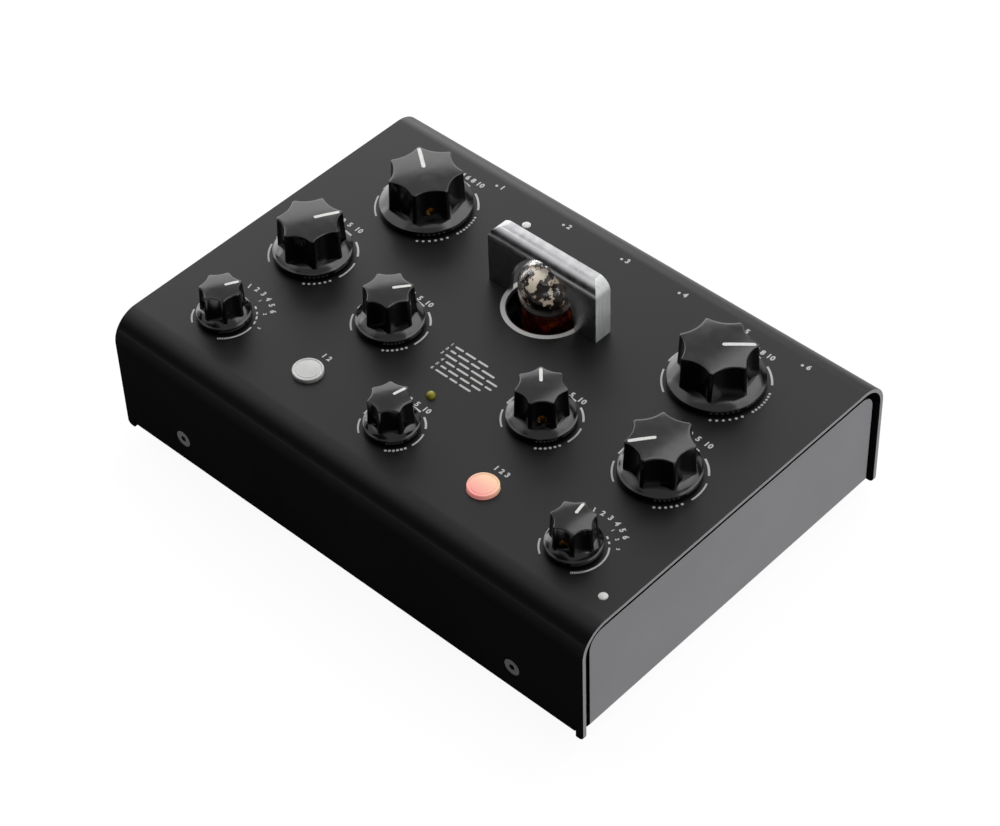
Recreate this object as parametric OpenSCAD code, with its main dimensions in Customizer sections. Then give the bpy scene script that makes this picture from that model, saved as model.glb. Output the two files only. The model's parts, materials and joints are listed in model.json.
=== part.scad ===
// Desktop delay pedal: a folded sheet-metal case with fluted control knobs, two buttons
// and a small valve under a polished guard.
// Millimetres. X runs along the width, Y from front to back and Z up.
// The origin is on the resting plane, midway across the overall width and depth.
// Places on the panel are given as x from the middle and y from the front face.

/* [Case] */
// Width of the case
body_w = 200; // [196:1:240]
// Depth of the case, from its front face to its rear face
body_d = 141; // [139:1:170]
// Height of the case without its feet
body_h = 46.5; // [46:0.5:60]
// Thickness of the cover's sheet
sheet_t = 1.5; // [1:0.1:2]
// Outer radius of the big bends at the top edges
top_bend_r = 10; // [5:0.5:12]
// Outer radius of the small bends at the bottom edges
low_bend_r = 3; // [2.6:0.1:4]
// Width of the return flange under the front and rear walls
flange_w = 9; // [7:0.5:11]
// Length of the straight ear at each end of the bottom bends
ear_w = 3; // [2.9:0.1:5]
// Width of the relief notch beside each ear
relief_w = 1; // [0.6:0.1:2]
// Corner radius of the ears
ear_r = 1.8; // [0.5:0.1:2.5]

/* [Base tray] */
// Thickness of the tray's sheet
tray_t = 1.5; // [1:0.1:2]
// Outer radius of the tray's bends
tray_bend_r = 2.5; // [2.2:0.1:3]
// Clearance between the tray and the cover
tray_gap = 0.4; // [0.2:0.05:0.8]
// Depth by which the side panels stand back from the cover's ends
tray_recess = 1; // [0.3:0.1:2]
// Width of the screw tabs
tab_w = 10; // [8:0.5:11]
// Height of the screw tabs above the underside of the case
tab_top = 18; // [16:0.5:19]

/* [Case screws] */
// Distance of the front screws from the case's ends
front_screw_in = 28.3; // [20:0.1:34]
// Distance of the rear screws from the case's ends
rear_screw_in = 11; // [10:0.1:12]
// Height of the case screws above the underside of the case
case_screw_z = 11.7; // [10:0.1:13]
// Thread diameter of the case screws
screw_d = 3; // [2.5:0.1:3]
// Diameter of the case screws' countersunk heads
screw_head_d = 6; // [5:0.1:6.4]
// Length of the case screws
case_screw_l = 6; // [5:0.5:8]

/* [Feet] */
// Diameter of the rubber feet at the top
foot_d = 12; // [10:0.5:14]
// Height at which the feet hold the case off the table
foot_lift = 3; // [2:0.5:5]
// Distance of the feet from the ends of the case
foot_in_x = 18; // [16:0.5:24]
// Distance of the feet from the front and rear faces
foot_in_y = 19; // [18.5:0.5:24]

/* [Knobs] */
// Number of flutes round each knob
flute_count = 7; // [6:1:9]
// Skirt radius of the large knobs
large_skirt_r = 15.7; // [15:0.1:17]
// Lobe radius of the large knobs at the top
large_cap_r = 12.6; // [11.5:0.1:13]
// Height of the large knobs above the panel
large_h = 15.8; // [14.5:0.1:19]
// Depth of the large knobs' flutes
large_flute = 2.4; // [1.6:0.1:2.8]
// Skirt radius of the medium knobs
medium_skirt_r = 13.2; // [12.6:0.1:14]
// Lobe radius of the medium knobs at the top
medium_cap_r = 10.9; // [10:0.1:11.2]
// Height of the medium knobs above the panel
medium_h = 15.2; // [14:0.1:18]
// Depth of the medium knobs' flutes
medium_flute = 2; // [1.4:0.1:2.3]
// Skirt radius of the inner pair of knobs
inner_skirt_r = 11.3; // [10.6:0.1:12]
// Lobe radius of the inner pair of knobs at the top
inner_cap_r = 8.3; // [7.8:0.1:8.8]
// Height of the inner pair of knobs above the panel
inner_h = 14.8; // [14:0.1:17]
// Depth of the inner pair's flutes
inner_flute = 1.45; // [1.1:0.05:1.7]
// Skirt radius of the small knobs
small_skirt_r = 9; // [8.6:0.1:9.5]
// Lobe radius of the small knobs at the top
small_cap_r = 7; // [6.8:0.1:7.3]
// Height of the small knobs above the panel
small_h = 13; // [12:0.1:15]
// Depth of the small knobs' flutes
small_flute = 1.15; // [0.9:0.05:1.3]
// Height of the skirts' upright rims above the panel
rim_h = 2.5; // [2.3:0.1:3]
// Height of the skirts' crown, where the flutes end
crown_h = 4.1; // [3.9:0.1:4.6]
// Gap under the skirts
skirt_gap = 0.6; // [0.4:0.1:1]
// Amount by which the knobs' lobes widen from top to skirt
knob_draft = 0.5; // [0.1:0.05:0.8]
// Rise of the domed tops
dome_rise = 0.5; // [0.2:0.05:0.9]
// Width of the flat tip of each lobe
lobe_tip = 0.9; // [0.5:0.05:1.4]
// Depth of the pointer groove
pointer_depth = 0.3; // [0.15:0.05:0.5]
// Diameter of the set screws
set_screw_d = 3; // [2.5:0.1:3.2]
// Height of the set screws above the panel
set_screw_z = 6.9; // [6.6:0.1:7.4]

/* [Control places] */
// Large knobs: distance from the ends of the case
large_in_x = 38; // [36:0.1:40]
// Large knobs: distance from the rear face
large_in_y = 35.6; // [34:0.1:38]
// Medium knobs: distance from the ends of the case
medium_in_x = 26; // [22:0.1:28]
// Medium knobs: y from the front face
medium_y = 64.6; // [60:0.1:68]
// Inner pair of knobs: x from the middle
inner_x = 32.3; // [30:0.1:36]
// Inner pair of knobs: y from the front face
inner_y = 57.8; // [56:0.1:62]
// Small knobs: distance of the two mode switches from the ends of the case
mode_in_x = 25.6; // [22:0.1:30]
// Small knobs: y from the front face
small_y = 25.2; // [24:0.1:30]
// Turn of the left large knob's pointer from +X
large_left_turn = 143; // [-50:1:230]
// Turn of the right large knob's pointer from +X
large_right_turn = 43; // [-50:1:230]
// Turn of the left medium knob's pointer from +X
medium_left_turn = 62; // [-50:1:230]
// Turn of the right medium knob's pointer from +X
medium_right_turn = 229; // [-50:1:230]
// Turn of the left inner knob's pointer from +X
inner_left_turn = 55; // [-50:1:230]
// Turn of the right inner knob's pointer from +X
inner_right_turn = 133; // [-50:1:230]
// Turn of the front centre knob's pointer from +X
centre_turn = 81; // [-50:1:230]
// Turn of the left mode knob's pointer from +X
mode_left_turn = 65; // [50:1:150]
// Turn of the right mode knob's pointer from +X
mode_right_turn = 102.5; // [50:0.5:150]

/* [Buttons and lights] */
// Diameter of the button caps
button_d = 10.2; // [9:0.1:11]
// Height of the button caps above the panel
button_h = 1.3; // [1.1:0.1:3]
// Travel of the buttons
button_travel = 0.9; // [0.5:0.1:1.1]
// White button: x from the middle
tap_x = -36.3; // [-40:0.1:-34]
// Lit button: x from the middle
bypass_x = 38.3; // [34:0.1:42]
// Buttons: y from the front face
button_y = 25; // [23:0.1:28]
// Diameter of the light-emitting diode and of the indicator lenses
led_d = 3; // [2:0.1:4]
// Diode: y from the front face
led_y = 42.5; // [41:0.1:45]
// Front lens: distance from the right end of the case
front_lens_in = 6.4; // [6.2:0.1:8]
// Front lens: y from the front face
front_lens_y = 16.3; // [15.5:0.1:20]
// Rear lens: x from the middle
rear_lens_x = -31; // [-34:0.1:-28]
// Rear lens: distance from the rear face
rear_lens_in_y = 20.8; // [19:0.1:24]

/* [Valve and guard] */
// Outer diameter of the glass
glass_d = 18.5; // [17:0.1:19]
// Wall of the glass
glass_t = 0.9; // [0.6:0.05:1.2]
// Length of the glass from its base to the tip of its dome
glass_l = 41; // [38:0.5:44]
// Rise of the dome above the glass's straight wall
dome_h = 7; // [5:0.5:8]
// Valve: distance of its axis from the rear face
valve_in_y = 45; // [44:0.1:46]
// Diameter of the hole round the valve
valve_hole_d = 26; // [22:0.1:26.5]
// Width of the guard
guard_w = 45.6; // [44:0.1:54]
// Height of the guard above the panel
guard_h = 22.2; // [21.5:0.1:28]
// Depth of the guard's roof
guard_roof_d = 6.3; // [5.5:0.1:6.8]
// Depth of the guard's end walls
guard_end_d = 6.9; // [6.9:0.1:12]
// Thickness of the guard's sheet
guard_t = 1.5; // [1:0.1:2]
// Outer radius of the guard's bend
guard_bend_r = 4.7; // [3:0.1:5.2]
// Distance of the guard's front face ahead of the valve's axis
guard_ahead = 2.5; // [2:0.1:4]
// Width of the arch at the panel
arch_w = 27.4; // [26.8:0.1:30]
// Height of the arch
arch_h = 20; // [16:0.1:20.2]
// Clearance between the glass's tip and the guard's roof
tip_gap = 0.8; // [0.4:0.1:2]

/* [Connectors] */
// Pitch of the jack sockets
jack_pitch = 25; // [22:0.5:25.5]
// First jack socket: x from the middle
jack_x = -21.2; // [-22:0.1:-20]
// Radius of the jack sockets' bore
jack_bore_r = 3.2; // [3:0.05:3.4]
// Diameter of the jack sockets' threaded nose
jack_nose_d = 9.5; // [9:0.1:10]
// Length of the noses behind the rear face
jack_nose = 3; // [2.6:0.1:4]
// Round data socket: x from the middle
din_x = -50.9; // [-54:0.1:-50]
// Outer diameter of the round data socket's collar
din_d = 15.4; // [14.6:0.1:16]
// Power inlet: distance from the right end of the case
dc_in = 21.2; // [21:0.1:23]
// Opening diameter of the power inlet
dc_bore_d = 6.3; // [5.8:0.1:6.6]
// Diameter of the power inlet's centre pin
dc_pin_d = 2.1; // [1.6:0.1:2.5]

/* [Boards and controls] */
// Thickness of the circuit boards
board_t = 1.6; // [1:0.1:2]
// Length of the board standoffs
standoff_l = 8; // [7:0.5:8]
// Height of the control bodies, from the control board to the panel
control_h = 7; // [6.5:0.1:7.5]
// Diameter of the control shafts
shaft_d = 6; // [5.6:0.1:6]
// Running clearance of the shafts, all round
shaft_gap = 0.05; // [0.02:0.01:0.08]
// Outer diameter of the threaded bushings
bushing_d = 7.4; // [7.2:0.1:8]
// Width across the flats of the bushing nuts
nut_af = 10; // [9.5:0.1:10.5]
// Thickness of the bushing nuts
nut_t = 1.9; // [1.5:0.1:2]

/* [Hidden] */
$fn = 64;

// Levels, from the table up
case_z = foot_lift;
tray_z = case_z + sheet_t;
plate_z = tray_z + tray_t;
main_z = plate_z + standoff_l;
main_top = main_z + board_t;
panel_z = case_z + body_h;
under_z = panel_z - sheet_t;
control_top = under_z - control_h;

// Depths, from the front back
front_y = -(body_d + jack_nose) / 2;
rear_y = front_y + body_d;
tray_front = front_y + sheet_t + tray_gap;
tray_rear = rear_y - sheet_t - tray_gap;
tray_half = body_w / 2 - tray_recess;

// Places that follow the ends and the rear face
large_x = body_w / 2 - large_in_x;
large_y = body_d - large_in_y;
medium_x = body_w / 2 - medium_in_x;
mode_x = body_w / 2 - mode_in_x;
rear_lens_y = body_d - rear_lens_in_y;
valve_y = body_d - valve_in_y;
guard_y = valve_y - guard_ahead;
dc_x = body_w / 2 - dc_in;

// Clearances, and how far a cut reaches past its solid
fit_gap = 0.1;
hole_gap = 0.15;
thread_gap = 0.02;
over = 1;

// Sheet details: rise of the relief notches above the bends, room ahead of the bends
relief_rise = 1;
plate_gap = 0.4;
tab_foot = 3;

// Hexagon sockets of all the screws
hex_r = 1.15;
hex_depth = 1;

// Feet: taper, rubber above the bore, and the screw's head and its end above the tray
foot_taper = 0.8;
foot_web = 2;
foot_bore_r = 3.2;
foot_head_h = 1.6;
foot_head_gap = 0.4;
foot_screw_end = 0.4;

// Boards: room at the tray's sides, edges from the case's faces, notches for the rear tabs
board_gap = 2;
main_in_front = 30;
main_in_rear = 1;
control_in_front = 12;
control_in_rear = 17;
notch_gap = 1;
notch_l = 5;
board_half = tray_half - tray_t - board_gap;
main_front = front_y + main_in_front;
main_rear = rear_y - sheet_t - main_in_rear;
control_front = front_y + control_in_front;
control_rear = rear_y - control_in_rear;

// Standoffs: places from the board's edges, radius over the corners, and their screws
standoff_in_x = 14;
standoff_in_front = 6;
standoff_in_rear = 32;
standoff_r = 2.9;
pan_h = 1.8;
pan_r = 2.7;
pan_grip = 3;

// Controls: bushing stack, rotor in its chamber, bodies, and the switches' locating lug
washer_t = 0.5;
washer_rim = 0.4;
bushing_end = 0.4;
bushing_top = washer_t + nut_t + bushing_end;
rotor_z = 1.3;
rotor_t = 1.6;
rotor_r = 4;
rotor_gap = 0.3;
rotor_side_gap = 0.2;
pot_w = 9.8;
pot_l = 11.4;
rotary_r = 8.9;
locator_r = 1;
locator_y = 7.2;
locator_drop = 0.2;

// Knobs: room round the nut, top over the shaft, groove, edges and the set screw's ends
recess_gap = 0.4;
recess_side_gap = 0.5;
recess_top = bushing_top + recess_gap;
cap_floor = 3;
shaft_end_gap = 0.1;
cap_edge_r = 0.5;
crown_in = 1;
column_z = 1;
groove_w_least = 0.6;
groove_w_share = 0.055;
groove_in_share = 0.09;
set_screw_sunk = 0.7;
set_socket_l = 1.2;

// Buttons: cap, flange, stem and the switch below, with room for the travel
button_r = button_d / 2;
button_round = 0.5;
button_rise = 0.2;
flange_t = 1.2;
flange_gap = 0.1;
flange_rim = 1;
stem_r = 1.7;
stem_gap = 0.4;
switch_w = 6.2;
switch_floor = 1;
switch_gap = 1;
switch_h = control_h - flange_gap - flange_t - button_travel - switch_gap;

// Diode and lenses: leads, seat, collar, and how far they stand above the panel
led_lead_r = 0.3;
led_seat = 2.6;
led_collar = 0.4;
led_collar_t = 1;
led_proud = 0.2;
lens_lip = 0.1;
lens_bevel_w = 0.3;
lens_bevel_h = 0.2;
lens_crown = 0.15;

// Guard: tabs in the panel, corner of the end walls
guard_tab_w = 5;
guard_tab_l = 4;
guard_tab_root = 0.5;
guard_corner_r = 2.2;

// Valve: glass, pins, electrodes and socket
nipple_h = 2.2;
nipple_r = 1.1;
glass_base = 3;
glass_edge = 0.8;
pin_circle_r = 4.76;
pin_r = 0.5;
pin_l = 6;
pin_root = 1.4;
anode_lift = 6.5;
anode_drop = 2.4;
anode_half = 3;
anode_r = 3.4;
anode_t = 0.6;
fin_w = 4.8;
fin_seat = 0.1;
mica_t = 0.4;
mica_gap = 0.3;
mica_notch_r = 2.2;
mica_notch = 0.8;
getter_r = 3;
getter_wire_r = 0.45;
getter_l = 3;
getter_post_r = 0.35;
socket_r = 11;
socket_body_r = 9.4;
socket_rim_t = 2;
socket_rim_z = 1;
socket_gap = 0.3;
socket_pin_gap = 0.05;
socket_hole_l = 6.5;
socket_eye_r = 1.2;
socket_eye_l = 5;

// Connectors: bodies on the board, noses, nuts and contacts
jack_h = 17;
jack_w = 15.5;
jack_l = 28;
jack_nut_t = 2.2;
jack_nut_r = 7.4;
din_w = 20;
din_l = 14;
din_h = 19.5;
din_proud = 0.6;
din_wall = 1;
din_depth = 8;
din_ring_r = 3.5;
din_contact_r = 0.8;
din_contact_l = 4;
dc_w = 9;
dc_l = 14;
dc_h = 11;
dc_axis_h = 6.5;
dc_wall = 1.15;
dc_proud = 0.2;
dc_depth = 9.5;
dc_pin_sunk = 1;
nose_root = 1;
dc_nose_r = dc_bore_d / 2 + dc_wall;
jack_z = main_top + jack_h / 2;
din_z = main_top + din_h / 2;
dc_z = main_top + dc_axis_h;

// The controls: place, skirt radius, lobe radius, height, flute depth, pointer turn
LARGE = [large_skirt_r, large_cap_r, large_h, large_flute];
MEDIUM = [medium_skirt_r, medium_cap_r, medium_h, medium_flute];
INNER = [inner_skirt_r, inner_cap_r, inner_h, inner_flute];
SMALL = [small_skirt_r, small_cap_r, small_h, small_flute];
POT_PLACES = [
    [-large_x, large_y], [large_x, large_y], [-medium_x, medium_y], [medium_x, medium_y],
    [-inner_x, inner_y], [inner_x, inner_y], [0, small_y]
];
MODE_PLACES = [[-mode_x, small_y], [mode_x, small_y]];
CONTROL_PLACES = concat(POT_PLACES, MODE_PLACES);
JACK_XS = [for (i = [0:3]) jack_x + i * jack_pitch];
LENS_PLACES = [[body_w / 2 - front_lens_in, front_lens_y], [rear_lens_x, rear_lens_y]];
BUTTON_XS = [tap_x, bypass_x];

// Moves children to each place on the panel, at height z
module at_places(places, z) {
    for (p = places)
        translate([p[0], front_y + p[1], z])
            children();
}

// Lays a profile drawn in Y and Z along X, centred on x
module along_x(length, x = 0) {
    translate([x - length / 2, 0, 0])
        rotate([90, 0, 90])
            linear_extrude(length)
                children();
}

// Lays a profile drawn in X and Z along Y, from y0 to y1
module along_y(y0, y1) {
    translate([0, y1, 0])
        rotate([90, 0, 0])
            linear_extrude(y1 - y0)
                children();
}

// Rectangle with its own radius at the top corners and at the bottom corners
module case_outline(x0, x1, z0, z1, top_r, low_r) {
    translate([x0, z0 + low_r])
        square([x1 - x0, z1 - z0 - low_r - top_r]);
    translate([x0 + top_r, z0 + low_r])
        square([x1 - x0 - 2 * top_r, z1 - z0 - low_r]);
    translate([x0 + low_r, z0])
        square([x1 - x0 - 2 * low_r, z1 - z0 - top_r]);
    for (x = [x0 + top_r, x1 - top_r])
        translate([x, z1 - top_r])
            circle(top_r);
    if (low_r > 0)
        for (x = [x0 + low_r, x1 - low_r])
            translate([x, z0 + low_r])
                circle(low_r);
}

// Bent sheet: front wall, top and rear wall, with the bottom bends and flanges
module cover_section() {
    difference() {
        case_outline(front_y, rear_y, case_z, panel_z, top_bend_r, low_bend_r);
        case_outline(front_y + sheet_t, rear_y - sheet_t, tray_z, under_z,
            top_bend_r - sheet_t, low_bend_r - sheet_t);
        translate([front_y + flange_w, case_z - over])
            square([body_d - 2 * flange_w, sheet_t + 2 * over]);
    }
}

// The same sheet at the ends, where the walls run straight down to the ears
module ear_section() {
    difference() {
        case_outline(front_y, rear_y, case_z, panel_z, top_bend_r, 0);
        case_outline(front_y + sheet_t, rear_y - sheet_t, case_z - over, under_z,
            top_bend_r - sheet_t, 0);
    }
}

// Countersunk hole through a wall, head at y = 0 facing -Y
module countersink(depth, clearance) {
    head_r = screw_head_d / 2 + clearance;
    neck_r = screw_d / 2 + clearance;
    head_l = head_r - neck_r;
    rotate([-90, 0, 0]) {
        cylinder(h = head_l, r1 = head_r, r2 = neck_r);
        cylinder(h = depth, r = neck_r);
        translate([0, 0, -over])
            cylinder(h = over, r = head_r);
    }
}

module case_screw_places() {
    for (x = [-1, 1]) {
        translate([x * (body_w / 2 - front_screw_in), front_y, case_z + case_screw_z])
            children();
        translate([x * (body_w / 2 - rear_screw_in), rear_y, case_z + case_screw_z])
            rotate([0, 0, 180])
                children();
    }
}

module cover() {
    relief_x = body_w / 2 - ear_w - relief_w / 2;
    end_w = ear_w + relief_w;
    color("#1c1c1d")
    difference() {
        union() {
            along_x(body_w - 2 * end_w)
                cover_section();
            for (s = [-1, 1])
                along_x(end_w, s * (body_w - end_w) / 2)
                    ear_section();
        }
        // Relief notches beside the ears
        for (s = [-1, 1], y = [front_y, rear_y])
            translate([s * relief_x - relief_w / 2, y - sheet_t - over, case_z - over])
                cube([relief_w, 2 * (sheet_t + over), low_bend_r + relief_rise + over]);
        // Rounded lower corners of the ears
        for (s = [-1, 1])
            translate([s * (body_w / 2 - ear_r), 0, case_z + ear_r])
                difference() {
                    translate([s > 0 ? 0 : -ear_r - over, front_y - over, -ear_r - over])
                        cube([ear_r + over, body_d + 2 * over, ear_r + over]);
                    translate([0, (front_y + rear_y) / 2, 0])
                        rotate([90, 0, 0])
                            cylinder(h = body_d + 4 * over, r = ear_r, center = true);
                }
        // Panel holes
        panel_holes(CONTROL_PLACES, bushing_d / 2 + hole_gap);
        panel_holes([[0, valve_y]], valve_hole_d / 2);
        panel_holes([for (x = BUTTON_XS) [x, button_y]], button_r + hole_gap);
        panel_holes(concat(LENS_PLACES, [[0, led_y]]), led_d / 2 + fit_gap);
        panel_holes([for (p = MODE_PLACES) [p[0], p[1] + locator_y]], locator_r + hole_gap);
        guard_tab_places()
            cube([guard_tab_w + 2 * hole_gap, guard_t + 2 * hole_gap, 2 * (sheet_t + over)],
                center = true);
        // Screw and connector holes
        case_screw_places()
            countersink(sheet_t + over, hole_gap);
        for (x = JACK_XS)
            rear_hole(x, jack_z, jack_nose_d / 2 + hole_gap);
        rear_hole(din_x, din_z, din_d / 2 + hole_gap);
        rear_hole(dc_x, dc_z, dc_nose_r + hole_gap);
    }
}

module panel_holes(places, r) {
    at_places(places, under_z - over)
        cylinder(h = sheet_t + 2 * over, r = r);
}

module rear_hole(x, z, r) {
    translate([x, rear_y + over, z])
        rotate([90, 0, 0])
            cylinder(h = sheet_t + 2 * over, r = r);
}

// Tray: bottom plate and side panels folded from one sheet, closed by the case's own outline
module base_tray() {
    plate_half = body_w / 2 - ear_w - relief_w + tray_gap;
    plate_in = low_bend_r - sheet_t - tray_gap + plate_gap;
    // The side panels are cut to height by the case's outline
    spare_h = 2 * over;
    color("#85858a")
    difference() {
        union() {
            difference() {
                intersection() {
                    along_y(tray_front, tray_rear)
                        difference() {
                            case_outline(-tray_half, tray_half, tray_z, panel_z + spare_h, over,
                                tray_bend_r);
                            case_outline(-tray_half + tray_t, tray_half - tray_t, plate_z,
                                panel_z + 2 * spare_h, over, tray_bend_r - tray_t);
                        }
                    along_x(body_w)
                        case_outline(tray_front, tray_rear, tray_z, under_z - tray_gap,
                            top_bend_r - sheet_t - tray_gap, 0);
                }
                // The plate stands back from the cover's bottom bends
                for (y = [tray_front - over, tray_rear - plate_in])
                    translate([-plate_half, y, tray_z - over])
                        cube([2 * plate_half, plate_in + over, tray_bend_r + 2 * over]);
            }
            // Screw tabs folded up from the plate
            case_tab_places()
                along_x(tab_w)
                    tab_section();
        }
        // Threaded holes in the tabs
        case_screw_places()
            rotate([-90, 0, 0])
                cylinder(h = 2 * tab_w, r = screw_d / 2 + thread_gap, center = true);
        // Holes for the foot screws and the standoff screws
        foot_places(tray_z - over)
            cylinder(h = tray_t + 2 * over, r = screw_d / 2 + thread_gap);
        standoff_places(tray_z - over)
            cylinder(h = tray_t + 2 * over, r = screw_d / 2 + hole_gap);
    }
}

module case_tab_places() {
    for (x = [-1, 1]) {
        translate([x * (body_w / 2 - front_screw_in), tray_front, 0])
            children();
        translate([x * (body_w / 2 - rear_screw_in), tray_rear, 0])
            mirror([0, 1, 0])
                children();
    }
}

// One fold: a foot along the plate and an upright, with a round bend between them
module tab_section() {
    foot_l = tray_bend_r + tab_foot;
    difference() {
        union() {
            translate([tray_bend_r, tray_z])
                square([foot_l - tray_bend_r, tray_t]);
            translate([0, tray_z + tray_bend_r])
                square([tray_t, case_z + tab_top - tray_z - tray_bend_r]);
            intersection() {
                translate([tray_bend_r, tray_z + tray_bend_r])
                    circle(tray_bend_r);
                translate([0, tray_z])
                    square(tray_bend_r);
            }
        }
        translate([tray_bend_r, tray_z + tray_bend_r])
            circle(tray_bend_r - tray_t);
    }
}

module foot_places(z) {
    for (x = [-1, 1], y = [front_y + foot_in_y, rear_y - foot_in_y])
        translate([x * (body_w / 2 - foot_in_x), y, z])
            children();
}

module rubber_feet() {
    color("#161616")
    foot_places(0)
        difference() {
            cylinder(h = tray_z, r1 = foot_d / 2 - foot_taper, r2 = foot_d / 2);
            translate([0, 0, -over])
                cylinder(h = tray_z - foot_web + over, r = foot_bore_r);
            cylinder(h = tray_z + over, r = screw_d / 2 + fit_gap);
        }
}

module foot_screws() {
    color("#b9babd")
    foot_places(tray_z - foot_web)
        difference() {
            union() {
                translate([0, 0, -foot_head_h])
                    cylinder(h = foot_head_h, r = foot_bore_r - foot_head_gap);
                cylinder(h = foot_web + tray_t + foot_screw_end, r = screw_d / 2);
            }
            translate([0, 0, -foot_head_h - over])
                cylinder(h = hex_depth + over, r = hex_r, $fn = 6);
        }
}

// Countersunk screw with a hexagon socket, head at y = 0 facing -Y
module case_screw() {
    head_r = screw_head_d / 2;
    rotate([-90, 0, 0])
        difference() {
            union() {
                cylinder(h = head_r - screw_d / 2, r1 = head_r, r2 = screw_d / 2);
                cylinder(h = case_screw_l, r = screw_d / 2);
            }
            translate([0, 0, -over])
                cylinder(h = hex_depth + over, r = hex_r, $fn = 6);
        }
}

module front_screws() {
    color("#101010")
    for (x = [-1, 1])
        translate([x * (body_w / 2 - front_screw_in), front_y, case_z + case_screw_z])
            case_screw();
}

module rear_screws() {
    color("#101010")
    for (x = [-1, 1])
        translate([x * (body_w / 2 - rear_screw_in), rear_y, case_z + case_screw_z])
            rotate([0, 0, 180])
                case_screw();
}

module standoff_places(z) {
    for (x = [-1, 1], y = [main_front + standoff_in_front, main_rear - standoff_in_rear])
        translate([x * (board_half - standoff_in_x), y, z])
            children();
}

module main_board() {
    notch_y = tray_rear - tray_t - notch_l;
    color("#1f4d35")
    difference() {
        translate([-board_half, main_front, main_z])
            cube([2 * board_half, main_rear - main_front, board_t]);
        standoff_places(main_z - over)
            cylinder(h = board_t + 2 * over, r = screw_d / 2 + hole_gap);
        // Room for the rear screw tabs
        for (s = [-1, 1])
            translate([s * (body_w / 2 - rear_screw_in) - tab_w / 2 - notch_gap, notch_y,
                main_z - over])
                cube([tab_w + 2 * notch_gap, rear_y - notch_y, board_t + 2 * over]);
    }
}

module board_standoffs() {
    color("#c8b98a")
    standoff_places(plate_z)
        difference() {
            cylinder(h = standoff_l, r = standoff_r, $fn = 6);
            translate([0, 0, -over])
                cylinder(h = standoff_l + 2 * over, r = screw_d / 2 + thread_gap);
        }
}

module pan_screw(length) {
    difference() {
        union() {
            cylinder(h = pan_h, r = pan_r);
            translate([0, 0, -length])
                cylinder(h = length, r = screw_d / 2);
        }
        translate([0, 0, pan_h - hex_depth])
            cylinder(h = hex_depth + over, r = hex_r, $fn = 6);
    }
}

module board_screws() {
    color("#b9babd") {
        standoff_places(main_top)
            pan_screw(board_t + pan_grip);
        standoff_places(tray_z)
            mirror([0, 0, 1])
                pan_screw(tray_t + pan_grip);
    }
}

module control_board() {
    color("#1f4d35")
    difference() {
        translate([-board_half, control_front, control_top - board_t])
            cube([2 * board_half, control_rear - control_front, board_t]);
        at_places([[0, valve_y]], control_top - board_t - over)
            cylinder(h = board_t + 2 * over, r = valve_hole_d / 2);
    }
}

// Potentiometer: body with a rotor chamber and a threaded bushing that carries the shaft
module control_bore() {
    translate([0, 0, rotor_z])
        cylinder(h = control_h + sheet_t + bushing_top, r = shaft_d / 2 + shaft_gap);
    translate([0, 0, rotor_z - rotor_gap])
        cylinder(h = rotor_t + 2 * rotor_gap, r = rotor_r + rotor_side_gap);
}

module bushing() {
    cylinder(h = control_h + sheet_t + bushing_top, r = bushing_d / 2);
}

module potentiometers() {
    color("#5f6468")
    at_places(POT_PLACES, control_top)
        difference() {
            union() {
                translate([-pot_w / 2, -pot_l / 2, 0])
                    cube([pot_w, pot_l, control_h]);
                bushing();
            }
            control_bore();
        }
}

module rotary_switches() {
    color("#3b3f45")
    at_places(MODE_PLACES, control_top)
        difference() {
            union() {
                cylinder(h = control_h, r = rotary_r);
                bushing();
                translate([0, locator_y, 0])
                    cylinder(h = control_h + sheet_t - locator_drop, r = locator_r);
            }
            control_bore();
        }
}

module bushing_washers() {
    color("#b9babd")
    at_places(CONTROL_PLACES, panel_z)
        difference() {
            cylinder(h = washer_t, r = nut_af / 2 + washer_rim);
            translate([0, 0, -over])
                cylinder(h = washer_t + 2 * over, r = bushing_d / 2 + fit_gap);
        }
}

module bushing_nuts() {
    color("#b9babd")
    at_places(CONTROL_PLACES, panel_z + washer_t)
        difference() {
            cylinder(h = nut_t, r = nut_af / 2 / cos(30), $fn = 6);
            translate([0, 0, -over])
                cylinder(h = nut_t + 2 * over, r = bushing_d / 2 + thread_gap);
        }
}

// Radius of the upright cylinder that cuts a flute: it reaches in to valley_r and leaves
// flat tips on the circle cap_r
function flute_cutter(cap_r, valley_r) =
    let (half = 180 / flute_count - asin(lobe_tip / 2 / cap_r), reach = cap_r * cos(half))
    (cap_r * cap_r - 2 * valley_r * reach + valley_r * valley_r) / (2 * (reach - valley_r));

// Half section of a knob's column: drafted wall, rounded edge and domed top
module column_section(cap_r, cap_h) {
    edge_z = cap_h - dome_rise;
    wall_z = edge_z - cap_edge_r;
    top_r = cap_r - cap_edge_r;
    polygon(concat(
        [[0, column_z], [cap_r + knob_draft * (1 - column_z / cap_h), column_z],
            [cap_r + knob_draft * (1 - wall_z / cap_h), wall_z]],
        [for (a = [30:30:90]) [top_r + cap_edge_r * cos(a), wall_z + cap_edge_r * sin(a)]],
        [for (i = [1:7]) let (r = top_r * (1 - i / 8))
            [r, edge_z + dome_rise * (1 - pow(r / top_r, 2))]],
        [[0, cap_h]]
    ));
}

// Half section of a knob's skirt: upright rim and a crown that rises to the flutes' floor
module skirt_section(skirt_r, valley_r) {
    crown_r = valley_r - crown_in;
    polygon(concat(
        [[0, skirt_gap], [skirt_r, skirt_gap]],
        [for (i = [6:-1:0]) let (part = i / 6)
            [crown_r + (skirt_r - crown_r) * part, crown_h - (crown_h - rim_h) * part * part]],
        [[0, crown_h]]
    ));
}

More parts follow.
